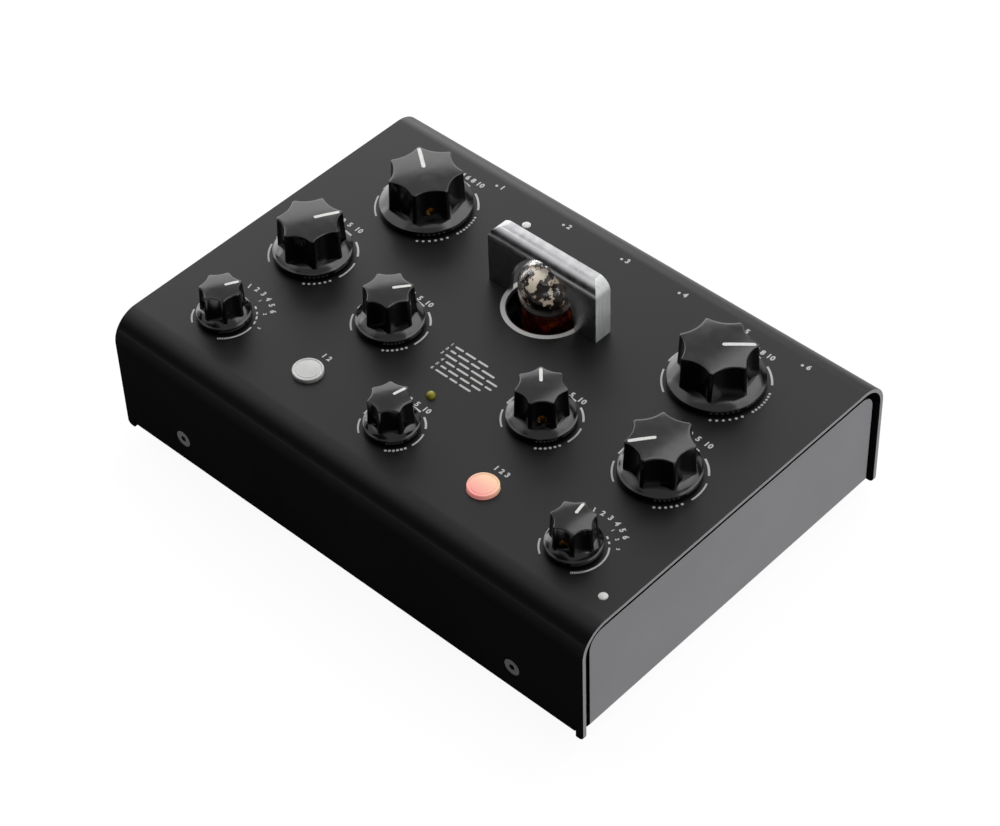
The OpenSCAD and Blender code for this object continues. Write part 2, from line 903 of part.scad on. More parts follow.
// Knob on its shaft, at the panel's height: dims = [skirt, lobes, height, flute depth]
module knob(place, dims, turn) {
    cap_r = dims[1];
    cap_h = dims[2];
    valley_r = cap_r - dims[3];
    cutter_r = flute_cutter(cap_r, valley_r);
    groove_w = groove_w_least + groove_w_share * cap_r;
    groove_z = cap_h - dome_rise - pointer_depth;
    color("#0d0d0e")
    translate([place[0], front_y + place[1], panel_z])
    rotate([0, 0, turn])
        difference() {
            union() {
                rotate_extrude()
                    skirt_section(dims[0], valley_r);
                difference() {
                    rotate_extrude()
                        column_section(cap_r, cap_h);
                    for (i = [0:flute_count - 1])
                        rotate([0, 0, (i + 0.5) * 360 / flute_count])
                            translate([valley_r + cutter_r, 0, 0])
                                cylinder(h = cap_h + over, r = cutter_r);
                }
            }
            // Room for the bushing nut, and the shaft's bore
            translate([0, 0, -over])
                cylinder(h = recess_top + over, r = nut_af / 2 / cos(30) + recess_side_gap);
            cylinder(h = cap_h - cap_floor, r = shaft_d / 2 + thread_gap);
            // Set screw hole, opposite the pointer
            translate([0, 0, set_screw_z])
                rotate([0, -90, 0])
                    cylinder(h = dims[0], r = set_screw_d / 2 + thread_gap);
            // Pointer groove
            translate([cap_r * groove_in_share, -groove_w / 2, groove_z])
                cube([cap_r, groove_w, pointer_depth + dome_rise + over]);
        }
}

module set_screw(place, dims, turn) {
    inner_r = shaft_d / 2 + thread_gap;
    screw_l = dims[1] - dims[3] - inner_r - set_screw_sunk;
    color("#b08a45")
    translate([place[0], front_y + place[1], panel_z + set_screw_z])
    rotate([0, 0, turn])
        rotate([0, -90, 0])
            translate([0, 0, inner_r])
                difference() {
                    cylinder(h = screw_l, r = set_screw_d / 2);
                    translate([0, 0, screw_l - set_socket_l])
                        cylinder(h = set_socket_l + over, r = set_screw_d / 4, $fn = 6);
                }
}

// Shaft with the rotor disc that is held in the body's chamber
module shaft(place, dims) {
    end_z = control_h + sheet_t + dims[2] - cap_floor - shaft_end_gap;
    color("#b9babd")
    translate([place[0], front_y + place[1], control_top + rotor_z]) {
        cylinder(h = end_z - rotor_z, r = shaft_d / 2);
        cylinder(h = rotor_t, r = rotor_r);
    }
}

// Button cap: domed disc, retaining flange under the panel and a stem into its switch
module button_cap(x) {
    flange_z = under_z - flange_gap - flange_t;
    stem_z = control_top + switch_floor + button_travel + stem_gap;
    cap_h = panel_z + button_h - flange_z;
    side_h = cap_h - button_rise - button_round;
    translate([x, front_y + button_y, flange_z]) {
        cylinder(h = flange_t, r = button_r + flange_rim);
        rotate_extrude()
            polygon(concat(
                [[0, 0], [button_r, 0], [button_r, side_h]],
                [for (a = [30:30:90]) [button_r - button_round * (1 - cos(a)),
                    side_h + button_round * sin(a)]],
                [[button_r / 2, cap_h - button_rise / 4], [0, cap_h]]
            ));
        translate([0, 0, stem_z - flange_z])
            cylinder(h = flange_z - stem_z + flange_t / 2, r = stem_r);
    }
}

module white_button() {
    color("#d2d2d0")
    button_cap(tap_x);
}

module lit_button() {
    color("#fab49b")
    button_cap(bypass_x);
}

module button_switches() {
    color("#26282b")
    for (x = BUTTON_XS)
        at_places([[x, button_y]], control_top)
            difference() {
                translate([-switch_w / 2, -switch_w / 2, 0])
                    cube([switch_w, switch_w, switch_h]);
                translate([0, 0, switch_floor])
                    cylinder(h = switch_h, r = stem_r + shaft_gap);
            }
}

module yellow_led() {
    dome_z = control_h + sheet_t + led_proud;
    color("#b3a72d")
    at_places([[0, led_y]], control_top) {
        for (s = [-1, 1])
            translate([s * led_d / 4, 0, 0])
                cylinder(h = led_seat + led_collar_t / 2, r = led_lead_r);
        translate([0, 0, led_seat])
            cylinder(h = led_collar_t, r = led_d / 2 + led_collar);
        translate([0, 0, led_seat])
            cylinder(h = dome_z - led_seat, r = led_d / 2);
        translate([0, 0, dome_z])
            intersection() {
                sphere(led_d / 2);
                translate([-led_d, -led_d, 0])
                    cube(2 * led_d);
            }
    }
}

module indicator_lenses() {
    lip_z = control_h + sheet_t + lens_lip;
    color("#ececea")
    at_places(LENS_PLACES, control_top)
        rotate_extrude()
            polygon([[0, 0], [led_d / 2, 0], [led_d / 2, lip_z],
                [led_d / 2 - lens_bevel_w, lip_z + lens_bevel_h],
                [0, lip_z + lens_bevel_h + lens_crown]]);
}

// Valve levels: the tip stays clear of the guard's roof
tip_z = panel_z + guard_h - guard_t - tip_gap;
glass_z = tip_z - glass_l;
shoulder_z = tip_z - nipple_h - dome_h;
anode_z = glass_z + anode_lift;
anode_h = shoulder_z - anode_z - anode_drop;
mica_r = glass_d / 2 - glass_t - mica_gap;

// Half section of the glass's outside, or of its inside when shrunk by t
module glass_section(t) {
    r = glass_d / 2 - t;
    base_z = glass_z + (t > 0 ? glass_base : 0);
    polygon(concat(
        [[0, base_z], [r - glass_edge, base_z], [r, base_z + glass_edge]],
        [for (i = [0:10]) let (a = i * 8)
            [r * cos(a), shoulder_z + (dome_h - t) * sin(a)]],
        t > 0
            ? [[0, shoulder_z + dome_h - t]]
            : [[nipple_r, tip_z - nipple_h * 0.82], [nipple_r * 0.55, tip_z - nipple_h * 0.18],
                [0, tip_z]]
    ));
}

module valve_at_axis() {
    translate([0, front_y + valve_y, 0])
        children();
}

// The seven pins stand on eight places of their circle, one of them left out
module at_pins(z) {
    for (i = [0:6])
        rotate([0, 0, i * 45])
            translate([pin_circle_r, 0, z])
                children();
}

module valve_glass() {
    color("#8c6a55", 0.45)
    valve_at_axis()
        difference() {
            rotate_extrude()
                glass_section(0);
            rotate_extrude()
                glass_section(glass_t);
            at_pins(glass_z - over)
                cylinder(h = pin_root + fit_gap + over, r = pin_r + thread_gap);
        }
}

// Anode: a box with rounded ends and side fins, round the cathode's space
module valve_anode() {
    bore_r = anode_r - anode_t;
    color("#55514e")
    valve_at_axis()
        translate([0, 0, anode_z])
            difference() {
                union() {
                    for (s = [-1, 1])
                        translate([s * anode_half, 0, 0])
                            cylinder(h = anode_h, r = anode_r);
                    translate([-anode_half, -anode_r, 0])
                        cube([2 * anode_half, 2 * anode_r, anode_h]);
                    for (s = [-1, 1])
                        translate([s * (anode_half + anode_r - fin_seat + anode_t / 2) - anode_t / 2,
                            -fin_w / 2, 0])
                            cube([anode_t, fin_w, anode_h]);
                }
                for (s = [-1, 1])
                    translate([s * anode_half, 0, -over])
                        cylinder(h = anode_h + 2 * over, r = bore_r);
                translate([-anode_half, -bore_r, -over])
                    cube([2 * anode_half, 2 * bore_r, anode_h + 2 * over]);
            }
}

module valve_micas() {
    color("#d8d2c0")
    valve_at_axis()
        for (z = [anode_z - mica_t, anode_z + anode_h])
            translate([0, 0, z])
                difference() {
                    cylinder(h = mica_t, r = mica_r);
                    for (i = [0:5])
                        rotate([0, 0, i * 60 + 30])
                            translate([mica_r + mica_notch_r - mica_notch, 0, -over])
                                cylinder(h = mica_t + 2 * over, r = mica_notch_r);
                }
}

// Getter ring on its post, above the upper mica
module valve_getter() {
    mica_top = anode_z + anode_h + mica_t;
    color("#9a958c")
    valve_at_axis() {
        translate([0, 0, mica_top + getter_l])
            rotate_extrude()
                translate([getter_r, 0])
                    circle(getter_wire_r);
        translate([getter_r, 0, mica_top])
            cylinder(h = getter_l, r = getter_post_r);
    }
}

module valve_pins() {
    color("#b9babd")
    valve_at_axis()
        at_pins(glass_z - pin_l)
            cylinder(h = pin_l + pin_root, r = pin_r);
}

module valve_socket() {
    top = glass_z - socket_gap;
    color("#cfc8b8")
    valve_at_axis()
        difference() {
            union() {
                translate([0, 0, main_top])
                    cylinder(h = top - main_top, r = socket_body_r);
                translate([0, 0, top - socket_rim_z - socket_rim_t])
                    cylinder(h = socket_rim_t, r = socket_r);
            }
            at_pins(top - socket_hole_l)
                cylinder(h = socket_hole_l + over, r = pin_r + socket_pin_gap);
            translate([0, 0, top - socket_eye_l])
                cylinder(h = socket_eye_l + over, r = socket_eye_r);
        }
}

// Guard: one polished sheet bent over the valve, with end walls and an arch in its front
module guard_tab_places() {
    for (s = [-1, 1])
        translate([s * (arch_w + guard_w) / 4, front_y + guard_y + guard_t / 2, panel_z])
            children();
}

module guard_section(inset) {
    r = guard_bend_r - inset;
    translate([guard_bend_r, 0]) {
        translate([-r, 0])
            square([guard_end_d, guard_h - guard_bend_r]);
        square([guard_end_d, guard_h - inset]);
        translate([0, guard_h - guard_bend_r])
            circle(r);
    }
}

module guard_end_outline() {
    difference() {
        intersection() {
            guard_section(0);
            square([guard_end_d, guard_h]);
        }
        translate([guard_end_d - guard_corner_r, guard_h - guard_corner_r])
            difference() {
                square(guard_corner_r + over);
                circle(guard_corner_r);
            }
    }
}

module valve_guard() {
    color("#c4c5c6")
    translate([0, front_y + guard_y, panel_z]) {
        difference() {
            along_x(guard_w)
                intersection() {
                    guard_section(0);
                    square([guard_roof_d, guard_h]);
                }
            along_x(guard_w - 2 * guard_t)
                guard_section(guard_t);
            // Arch in the front wall
            translate([0, guard_t + over, 0])
                rotate([90, 0, 0])
                    linear_extrude(guard_t + 2 * over)
                        polygon([for (i = [0:36]) let (a = i * 5)
                            [arch_w / 2 * cos(a), arch_h * sin(a)]]);
        }
        for (s = [-1, 1])
            along_x(guard_t, s * (guard_w - guard_t) / 2)
                guard_end_outline();
        for (s = [-1, 1])
            translate([s * (arch_w + guard_w) / 4 - guard_tab_w / 2, 0, -guard_tab_l])
                cube([guard_tab_w, guard_t, guard_tab_l + guard_tab_root]);
    }
}

// Round nose of a connector from its body through the rear wall
module rear_nose(proud, r) {
    translate([0, rear_y - sheet_t - nose_root, 0])
        rotate([-90, 0, 0])
            cylinder(h = nose_root + sheet_t + proud, r = r);
}

// Bore from the rear, from past the rear face to a depth below it
module rear_bore(start, depth, r) {
    translate([0, rear_y + start, 0])
        rotate([90, 0, 0])
            cylinder(h = start + depth, r = r);
}

// Body of a connector on the main board, against the rear wall
module rear_body(w, l, h) {
    translate([-w / 2, rear_y - sheet_t - l, main_top])
        cube([w, l, h]);
}

// Jack socket: moulded body on the board and a threaded nose through the rear wall
module audio_jacks() {
    color("#1a1b1d")
    for (x = JACK_XS)
        translate([x, 0, 0])
            difference() {
                union() {
                    rear_body(jack_w, jack_l, jack_h);
                    translate([0, 0, jack_z])
                        rear_nose(jack_nose, jack_nose_d / 2);
                }
                translate([0, 0, jack_z])
                    rear_bore(jack_nose + over, jack_l - over, jack_bore_r);
            }
}

module jack_nuts() {
    color("#b9babd")
    for (x = JACK_XS)
        translate([x, rear_y, jack_z])
            rotate([-90, 0, 0])
                difference() {
                    cylinder(h = jack_nut_t, r = jack_nut_r, $fn = 6);
                    translate([0, 0, -over])
                        cylinder(h = jack_nut_t + 2 * over, r = jack_nose_d / 2 + thread_gap);
                }
}

// Round five-pin data socket: a collar round an insert with five contacts
module data_socket() {
    color("#1a1b1d")
    translate([din_x, 0, 0])
        difference() {
            union() {
                rear_body(din_w, din_l, din_h);
                translate([0, 0, din_z])
                    rear_nose(din_proud, din_d / 2);
            }
            translate([0, 0, din_z])
                rear_bore(over, din_depth, din_d / 2 - din_wall);
            for (a = [0:45:180])
                translate([din_ring_r * cos(a), 0, din_z + din_ring_r * sin(a)])
                    rear_bore(over, din_depth + din_contact_l, din_contact_r);
        }
}

// Power inlet: a barrel opening round a centre pin
module power_inlet() {
    color("#1a1b1d")
    translate([dc_x, 0, 0]) {
        difference() {
            union() {
                rear_body(dc_w, dc_l, dc_h);
                translate([0, 0, dc_z])
                    rear_nose(dc_proud, dc_nose_r);
            }
            translate([0, 0, dc_z])
                rear_bore(over, dc_depth, dc_bore_d / 2);
        }
        translate([0, 0, dc_z])
            rear_bore(-dc_pin_sunk, dc_depth + dc_pin_sunk, dc_pin_d / 2);
    }
}

module knob_large_left() knob([-large_x, large_y], LARGE, large_left_turn);
module knob_large_right() knob([large_x, large_y], LARGE, large_right_turn);
module knob_medium_left() knob([-medium_x, medium_y], MEDIUM, medium_left_turn);
module knob_medium_right() knob([medium_x, medium_y], MEDIUM, medium_right_turn);
module knob_inner_left() knob([-inner_x, inner_y], INNER, inner_left_turn);
module knob_inner_right() knob([inner_x, inner_y], INNER, inner_right_turn);
module knob_centre() knob([0, small_y], SMALL, centre_turn);
module knob_mode_left() knob([-mode_x, small_y], SMALL, mode_left_turn);
module knob_mode_right() knob([mode_x, small_y], SMALL, mode_right_turn);

module shaft_large_left() shaft([-large_x, large_y], LARGE);
module shaft_large_right() shaft([large_x, large_y], LARGE);
module shaft_medium_left() shaft([-medium_x, medium_y], MEDIUM);
module shaft_medium_right() shaft([medium_x, medium_y], MEDIUM);
module shaft_inner_left() shaft([-inner_x, inner_y], INNER);
module shaft_inner_right() shaft([inner_x, inner_y], INNER);
module shaft_centre() shaft([0, small_y], SMALL);
module shaft_mode_left() shaft([-mode_x, small_y], SMALL);
module shaft_mode_right() shaft([mode_x, small_y], SMALL);

module set_screw_large_left() set_screw([-large_x, large_y], LARGE, large_left_turn);
module set_screw_large_right() set_screw([large_x, large_y], LARGE, large_right_turn);
module set_screw_medium_left() set_screw([-medium_x, medium_y], MEDIUM, medium_left_turn);
module set_screw_medium_right() set_screw([medium_x, medium_y], MEDIUM, medium_right_turn);
module set_screw_inner_left() set_screw([-inner_x, inner_y], INNER, inner_left_turn);
module set_screw_inner_right() set_screw([inner_x, inner_y], INNER, inner_right_turn);
module set_screw_centre() set_screw([0, small_y], SMALL, centre_turn);
module set_screw_mode_left() set_screw([-mode_x, small_y], SMALL, mode_left_turn);
module set_screw_mode_right() set_screw([mode_x, small_y], SMALL, mode_right_turn);

cover();
base_tray();
rubber_feet();
foot_screws();
front_screws();
rear_screws();
main_board();
board_standoffs();
board_screws();
control_board();
potentiometers();
rotary_switches();
bushing_washers();
bushing_nuts();
knob_large_left();
knob_large_right();
knob_medium_left();
knob_medium_right();
knob_inner_left();
knob_inner_right();
knob_centre();
knob_mode_left();
knob_mode_right();
shaft_large_left();
shaft_large_right();
shaft_medium_left();
shaft_medium_right();
shaft_inner_left();
shaft_inner_right();
shaft_centre();
shaft_mode_left();
shaft_mode_right();
set_screw_large_left();
set_screw_large_right();
set_screw_medium_left();
set_screw_medium_right();
set_screw_inner_left();
set_screw_inner_right();
set_screw_centre();
set_screw_mode_left();
set_screw_mode_right();
white_button();
lit_button();
button_switches();
yellow_led();
indicator_lenses();
valve_glass();
valve_anode();
valve_micas();
valve_getter();
valve_pins();
valve_socket();
valve_guard();
audio_jacks();
jack_nuts();
data_socket();
power_inlet();
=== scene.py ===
"""Delay pedal: the finish of every surface, the fine pieces and the studio round them."""

import json
import math

import bmesh
import bpy
from mathutils import Matrix, Vector, noise


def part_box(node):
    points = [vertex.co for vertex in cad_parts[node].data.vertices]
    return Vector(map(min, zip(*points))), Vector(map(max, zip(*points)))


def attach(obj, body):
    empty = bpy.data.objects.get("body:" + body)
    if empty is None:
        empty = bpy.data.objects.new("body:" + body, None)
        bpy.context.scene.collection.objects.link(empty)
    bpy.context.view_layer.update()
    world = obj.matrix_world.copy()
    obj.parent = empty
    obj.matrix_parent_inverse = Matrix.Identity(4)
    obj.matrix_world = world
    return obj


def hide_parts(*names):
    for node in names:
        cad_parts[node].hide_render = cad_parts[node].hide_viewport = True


bl_info = {
    "name": "Delay Pedal",
    "version": (1, 0, 0),
    "blender": (4, 5, 0),
    "location": "3D View > Sidebar > Delay Pedal",
    "description": "Dresses a desktop delay pedal with its knobs, valve, prints and finishes",
    "category": "Object",
}

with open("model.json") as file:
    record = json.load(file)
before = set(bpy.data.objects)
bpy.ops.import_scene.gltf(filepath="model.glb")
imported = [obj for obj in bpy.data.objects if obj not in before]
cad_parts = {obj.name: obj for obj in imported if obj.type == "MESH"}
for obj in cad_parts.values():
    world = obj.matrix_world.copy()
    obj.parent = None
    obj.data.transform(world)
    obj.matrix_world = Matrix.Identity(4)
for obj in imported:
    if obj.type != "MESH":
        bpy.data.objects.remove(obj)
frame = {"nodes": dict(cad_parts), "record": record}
NODES = frame["nodes"]
BODY_OF = {node: body for body, nodes in frame["record"]["behaviour"]["bodies"].items()
           for node in nodes}
# The record's slot of each node, from the name of the material that it was packed with
SLOT_OF = {node: piece.data.materials[0].name.split(".")[0] for node, piece in NODES.items()}
MM = 0.001
PANEL_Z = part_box("cover")[1].z

# Each control's knob size and the turn of its pointer from +X, in degrees
KNOBS = {
    "large_left": ("large", 143),
    "large_right": ("large", 43),
    "medium_left": ("medium", 62),
    "medium_right": ("medium", 229),
    "inner_left": ("inner", 55),
    "inner_right": ("inner", 133),
    "centre": ("small", 81),
    "mode_left": ("small", 65),
    "mode_right": ("small", 102.5),
}
# Radius of the lobes and depth of the flutes of each knob size
LOBES = {
    "large": (12.6 * MM, 2.4 * MM),
    "medium": (10.9 * MM, 2.0 * MM),
    "inner": (8.3 * MM, 1.45 * MM),
    "small": (7.0 * MM, 1.15 * MM),
}
FLUTES, STEPS_PER_FLUTE = 7, 36
# Rise of a knob's domed top, which its pointer follows
KNOB_DOME = 0.5 * MM

# The printed ink: how far it stands proud of the panel, and how far it is sunk to leave no gap
INK_PROUD, INK_SUNK = 0.03 * MM, 0.02 * MM
# Gap from a knob's skirt to its printed arcs
SCALE_GAP = 1.4 * MM
# Printed arcs round each control, from and to in degrees from +X, and how much bolder the first is
PLAIN_ARCS = ((35, 63), (77, 103), (116, 145), (158, 190), (203, 237))
BOLD = 1.2
FINE_ARC, DOTTED_ARC = (-10, 22), (-57, -23)
# How many dots the dotted arc has, and the fine arc of the largest knobs, and their radius
DOTS, BEADS = (6, 0.46 * MM), (8, 0.44 * MM)
# Arcs round the mode switches: the long one, which starts in ticks, and the short ones
MODE_SCALES = {
    "mode_left": ((-56, 11), ((20, 27), (32, 40), (45, 51), (59, 66))),
    "mode_right": ((-54, 38), ((46, 51), (57, 63))),
}
MODE_REAR_ARC = (-156, -122)
# The ticks, in degrees: how many, their pitch and length, and the turn they take up
TICKS, TICK_PITCH, TICK_LENGTH, TICKED, TICK_BOLD = 8, 2.8, 1.7, 22, 1.3

# The places and heights of the prints below are in millimetres.
# Numerals on the panel: what, x and y from the frame's middle, and height
NUMERALS = (
    ("0 2 4 6 8 10", -62, 52.9, 2.0),
    ("0 2 4 6 8 10", 62, 52.5, 2.0),
    ("0  5  10", -74, 10.3, 2.0),
    ("0  5  10", 74.5, 10.6, 2.0),
    ("0  5  10", -32.3, 0.0, 2.0),
    ("0  5  10", 33.2, -0.5, 2.0),
    ("0  5  10", 0, -34.9, 2.0),
    ("1 2", -36.4, -38.7, 1.9),
    ("1 2 3", 38.2, -38.7, 1.9),
)
# The numbers round the two mode switches: knob, radius, first angle, step, numbers and height
MODE_NUMERALS = (
    ("mode_left", 15.4, 105, -11.4, "1 2 3 4 5 6", 1.9),
    ("mode_left", 12.8, 74, -29.5, "1 2 3", 1.1),
    ("mode_right", 15.5, 109, -11, "1 2 3 4 5 6", 1.9),
    ("mode_right", 12.9, 70, -17, "1 2 3", 1.1),
)
# Marks at the rear edge, one for each socket: x, y and height, and offsets of number and dot
REAR_MARKS = (-50.4, -20.7, 4.5, 28.8, 54.1, 78.8)
REAR_MARK_Y, REAR_MARK_H = 56.6, 2.0
REAR_NUMBER_X, REAR_DOT_X, REAR_DOT_Y, REAR_DOT_R = 1.0, -1.2, -0.4, 0.5
# Rows of the printed key: y, and the bars that stand for its words, from and to in x
KEY_ROWS = (
    (-8.6, ((-9.2, -5.8), (-4.9, -0.6), (0.4, 4.6))),
    (-10.9, ((-9.2, -6.9), (-6.0, -1.4), (-0.5, 3.2), (4.1, 9.4))),
    (-13.2, ((-9.2, -4.4), (-3.5, 0.8), (1.7, 7.3), (8.2, 12.6))),
    (-15.5, ((-7.0, -3.2), (-2.3, 2.6), (3.5, 8.8), (9.7, 12.4))),
    (-17.8, ((-7.0, -4.6), (-3.7, 0.4), (1.3, 5.2), (6.1, 9.9))),
    (-20.1, ((-7.0, -1.9), (-1.0, 2.2), (3.1, 7.8))),
)
KEY_BAR_H, KEY_NUMBER_H, KEY_NUMBER_X = 0.75, 1.2, -1.5
# The ring round the valve: radius and width
VALVE_RING_R, VALVE_RING_W = 14.2 * MM, 1.6 * MM

# Nodes whose sheet or turned edges show: the radius in mm that takes their sharpness off
FINE_EDGES = {
    "cover": 0.16, "base_tray": 0.16, "front_screws": 0.06, "rear_screws": 0.06,
    "foot_screws": 0.06, "rubber_feet": 0.3, "audio_jacks": 0.1, "jack_nuts": 0.12,
    "data_socket": 0.1, "power_inlet": 0.1,
}
# Side panels: thickness of their sheet, their lowest rim, and how far their rims draw in
SIDE_PANEL_T, SIDE_PANEL_LOW, SIDE_PANEL_DRAW = 1.5 * MM, 5 * MM, 2.3 * MM
# Guard: its sheet, the outer radii of its front and end bends, and its arch
GUARD_SHEET, GUARD_BEND, GUARD_END_BEND = 1.5 * MM, 4.7 * MM, 4.5 * MM
ARCH_W, ARCH_H = 27.4 * MM, 20.0 * MM
# Valve: from the outside of its glass to what lies against the inside, and the bands there, each
# with its bottom and top from the panel and its thickness
GLASS_INSIDE = 0.95 * MM
SMOKE_RING, BROWN_STAIN_AND_GLINTS = (3.2 * MM, 3.8 * MM, 0.05 * MM), (-9 * MM, 3.1 * MM, 0.03 * MM)
# How far a cutting shape reaches past what it cuts
OVER = 1 * MM

FLOOR_SIZE, WALL_HEIGHT = 14.0, 3.0
BACKDROP_GLOW = 0.94
# The black card: a part of a cylinder, cut off past two upright planes with these normals
FLAG_R, FLAG_HEIGHT = 2.2, 1.3
FLAG_CUTS = ((-0.26, 0.97, 0), (0.87, 0.5, 0))
# Softboxes: azimuth, elevation, distance, width, height and radiance
SOFTBOXES = {
    "softbox_left_low": (150, 23, 1.26, 1.45, 0.85, 2.7),
    "softbox_back_high": (134, 62, 1.3, 2.0, 1.0, 0.62),
    "softbox_left_high": (196, 50, 1.2, 0.9, 0.7, 0.75),
    "softbox_rear_high": (84, 56, 1.2, 1.0, 0.8, 2.0),
    "softbox_overhead": (-20, 83, 1.3, 1.1, 1.1, 0.5),
    "softbox_right": (14, 22, 1.27, 0.8, 0.7, 2.7),
}
SURROUND = 0.03
# Photograph's view: the camera's place, where it looks, its turn and its lens
CAMERA_PLACE = Vector((456.366, -467.612, 683.237)) * MM
CAMERA_FORWARD = Vector((-0.48960, 0.50239, -0.71267))
CAMERA_AZIMUTH = 44.26175
CAMERA_ROLL = -2.18073
CAMERA_LENS = 104.46

MATERIALS = {}
# Plain finishes: colour, lowest and highest roughness, size of the grain in mm, metallic, depth of
# the grain's relief in mm, and how the grain stretches
PLAIN_FINISHES = {
    # Moulded natural rubber: matt black with a fine dusty bloom
    "rubber": ("#151515", 0.75, 0.9, 0.5, 0, 0.03),
    # Bright zinc plate on steel: pale blue-grey metal with fine rolling lines
    "zinc_steel": ("#b4b7bb", 0.25, 0.42, 0.4, 1),
    # Black oxide on steel: dark, slightly oily sheen
    "black_steel": ("#141415", 0.3, 0.45, 0.5, 0.6),
    # Glass-epoxy board under black solder mask: glossy, with the weave just showing
    "circuit_board": ("#15171d", 0.25, 0.4, 0.6),
    # Free-cutting brass, turned: warm yellow metal with lathe rings
    "brass": ("#c39a4e", 0.22, 0.38, 0.25, 1),
    # Die-cast zinc control bodies: grey metal, satin
    "control_body": ("#6b7074", 0.35, 0.5, 0.8, 1),
    # Glass-filled nylon: black with a fine moulded texture
    "black_plastic": ("#101012", 0.45, 0.6, 0.3, 0, 0.02),
    # Tinted epoxy lens: yellow, unlit and glossy
    "yellow_lens": ("#a8a02d", 0.08, 0.16, 1.5),
    # Milky polycarbonate light pipe: white and softly glossy
    "white_lens": ("#e6e6e4", 0.15, 0.25, 1.5),
    # Greyed nickel-plated steel electrodes: dull warm grey
    "valve_metal": ("#5d5652", 0.35, 0.5, 0.6, 1),
    # Split mica, smoked brown by the getter's flash
    "mica": ("#1c1410", 0.7, 0.85, 1.2),
    # Unglazed steatite ceramic: warm white and matt
    "socket_ceramic": ("#cfc8b8", 0.6, 0.75, 0.5),
    # Stainless sheet under a fine satin polish: it spreads what it mirrors into soft bands
    "polished_steel": ("#bdbdbf", 0.27, 0.34, 3, 1),
    # The guard's end walls, brushed up and down and much less of a mirror than its front; their
    # paler colour is painted light from the lamp at the right
    "brushed_steel_painted_light": ("#eef1f0", 0.4, 0.55, 0.5, 0.15, 0.01, (1, 1, 0.08)),
    # Cut edge of the coated sheet, painted pale grey: a painted highlight where the sheet's end
    # catches the light from the right
    "painted_edge_highlight": ("#9a9a9c", 0.4, 0.55, 0.3, 0.4),
    # Soot-brown ring that the flash leaves where it ends on the glass
    "smoke_ring": ("#150c09", 0.6, 0.8, 0.8),
    # Satin moulded polycarbonate cap: off-white
    "white_cap": ("#dededc", 0.3, 0.42, 7),
}


def linear(hex_colour):
    """Turns an sRGB hex value into the linear colour that Blender works in."""
    parts = [int(hex_colour[i:i + 2], 16) / 255 for i in (1, 3, 5)]
    return (*[c / 12.92 if c <= 0.04045 else ((c + 0.055) / 1.055) ** 2.4 for c in parts], 1.0)


def middle(node):
    """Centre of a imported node's box."""
    low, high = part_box(node)
    return (low + high) / 2


def half_width(node):
    """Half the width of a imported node's box, which is the radius of a round one."""
    low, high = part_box(node)
    return (high.x - low.x) / 2


def polar(radius, angle):
    """Point at a radius and an angle in radians."""
    return radius * math.cos(angle), radius * math.sin(angle)


def arc_points(radius, first, last, steps, centre):
    """Points of an arc round a centre between two angles in degrees, as pairs."""
    points = [polar(radius, math.radians(first + (last - first) * step / steps))
              for step in range(steps + 1)]
    return [(centre[0] + x, centre[1] + y) for x, y in points]


def colour(name, description, value):
    """A colour that a user can change, from its sRGB hex value."""
    return bpy.props.FloatVectorProperty(name=name, description=description, subtype="COLOR",
                                         size=4, default=linear(value), min=0, max=1)


def length(name, description, value, low, high):
    """A length that a user can change, in millimetres."""
    return bpy.props.FloatProperty(name=name, description=description, unit="LENGTH",
                                   subtype="DISTANCE", default=value * MM, min=low * MM,
                                   max=high * MM)


class PedalColours(bpy.types.PropertyGroup):
    """Colours that a user would change."""

    cover: colour("Cover", "Powder coat of the folded cover", "#131314")
    # The walls' grey, paler than the cover's, is a painted sheen in place of the gloss that they
    # are drawn without
    wall: colour("Walls", "Powder coat of the cover's upright walls", "#3e3e3f")
    # The grey of the tray and its side panels is a painted reflection of the light from the right
    # on their coat
    sheet: colour("Side panels", "Grey coat of the tray and its side panels", "#88888c")
    knob: colour("Knobs", "Moulded knobs", "#08080a")
    ink: colour("Prints", "Screen-printed ink of the scales and numbers", "#cacac8")
    pointer: colour("Pointers", "Paint in the knobs' pointer grooves", "#e9e9e6")


class PedalSizes(bpy.types.PropertyGroup):
    """Sizes of the details that the frame leaves to the finish."""

    knob_edge: length("Knob edge", "Radius of the rounded edges of the knobs", 0.3, 0.05, 0.6)
    line: length("Printed line", "Width of the printed arcs", 0.58, 0.2, 1.0)


def colours():
    return bpy.context.scene.pedal_colours


def sizes():
    return bpy.context.scene.pedal_sizes


# Materials

def add_node(tree, kind, inputs=None, **settings):
    """Adds a node. Inputs maps a socket's name or number to a value, a hex colour or an output."""
    made = tree.nodes.new("ShaderNode" + kind)
    for name, value in settings.items():
        setattr(made, name, value)
    for socket, value in (inputs or {}).items():
        if isinstance(value, bpy.types.NodeSocket):
            tree.links.new(value, made.inputs[socket])
        else:
            made.inputs[socket].default_value = linear(value) if isinstance(value, str) else value
    return made


def new_material(name, **shader):
    """A material with a Principled shader, its sockets set by name; underscores are spaces."""
    made = bpy.data.materials.new(name)
    made.use_nodes = True
    tree = made.node_tree
    tree.nodes.clear()
    principled = add_node(tree, "BsdfPrincipled",
                          {key.replace("_", " "): value for key, value in shader.items()})
    add_node(tree, "OutputMaterial", {"Surface": principled.outputs["BSDF"]})
    return made, tree, principled


def feed(principled, **sockets):
    """Links outputs to the shader's sockets by name."""
    for key, output in sockets.items():
        principled.id_data.links.new(output, principled.inputs[key.replace("_", " ")])


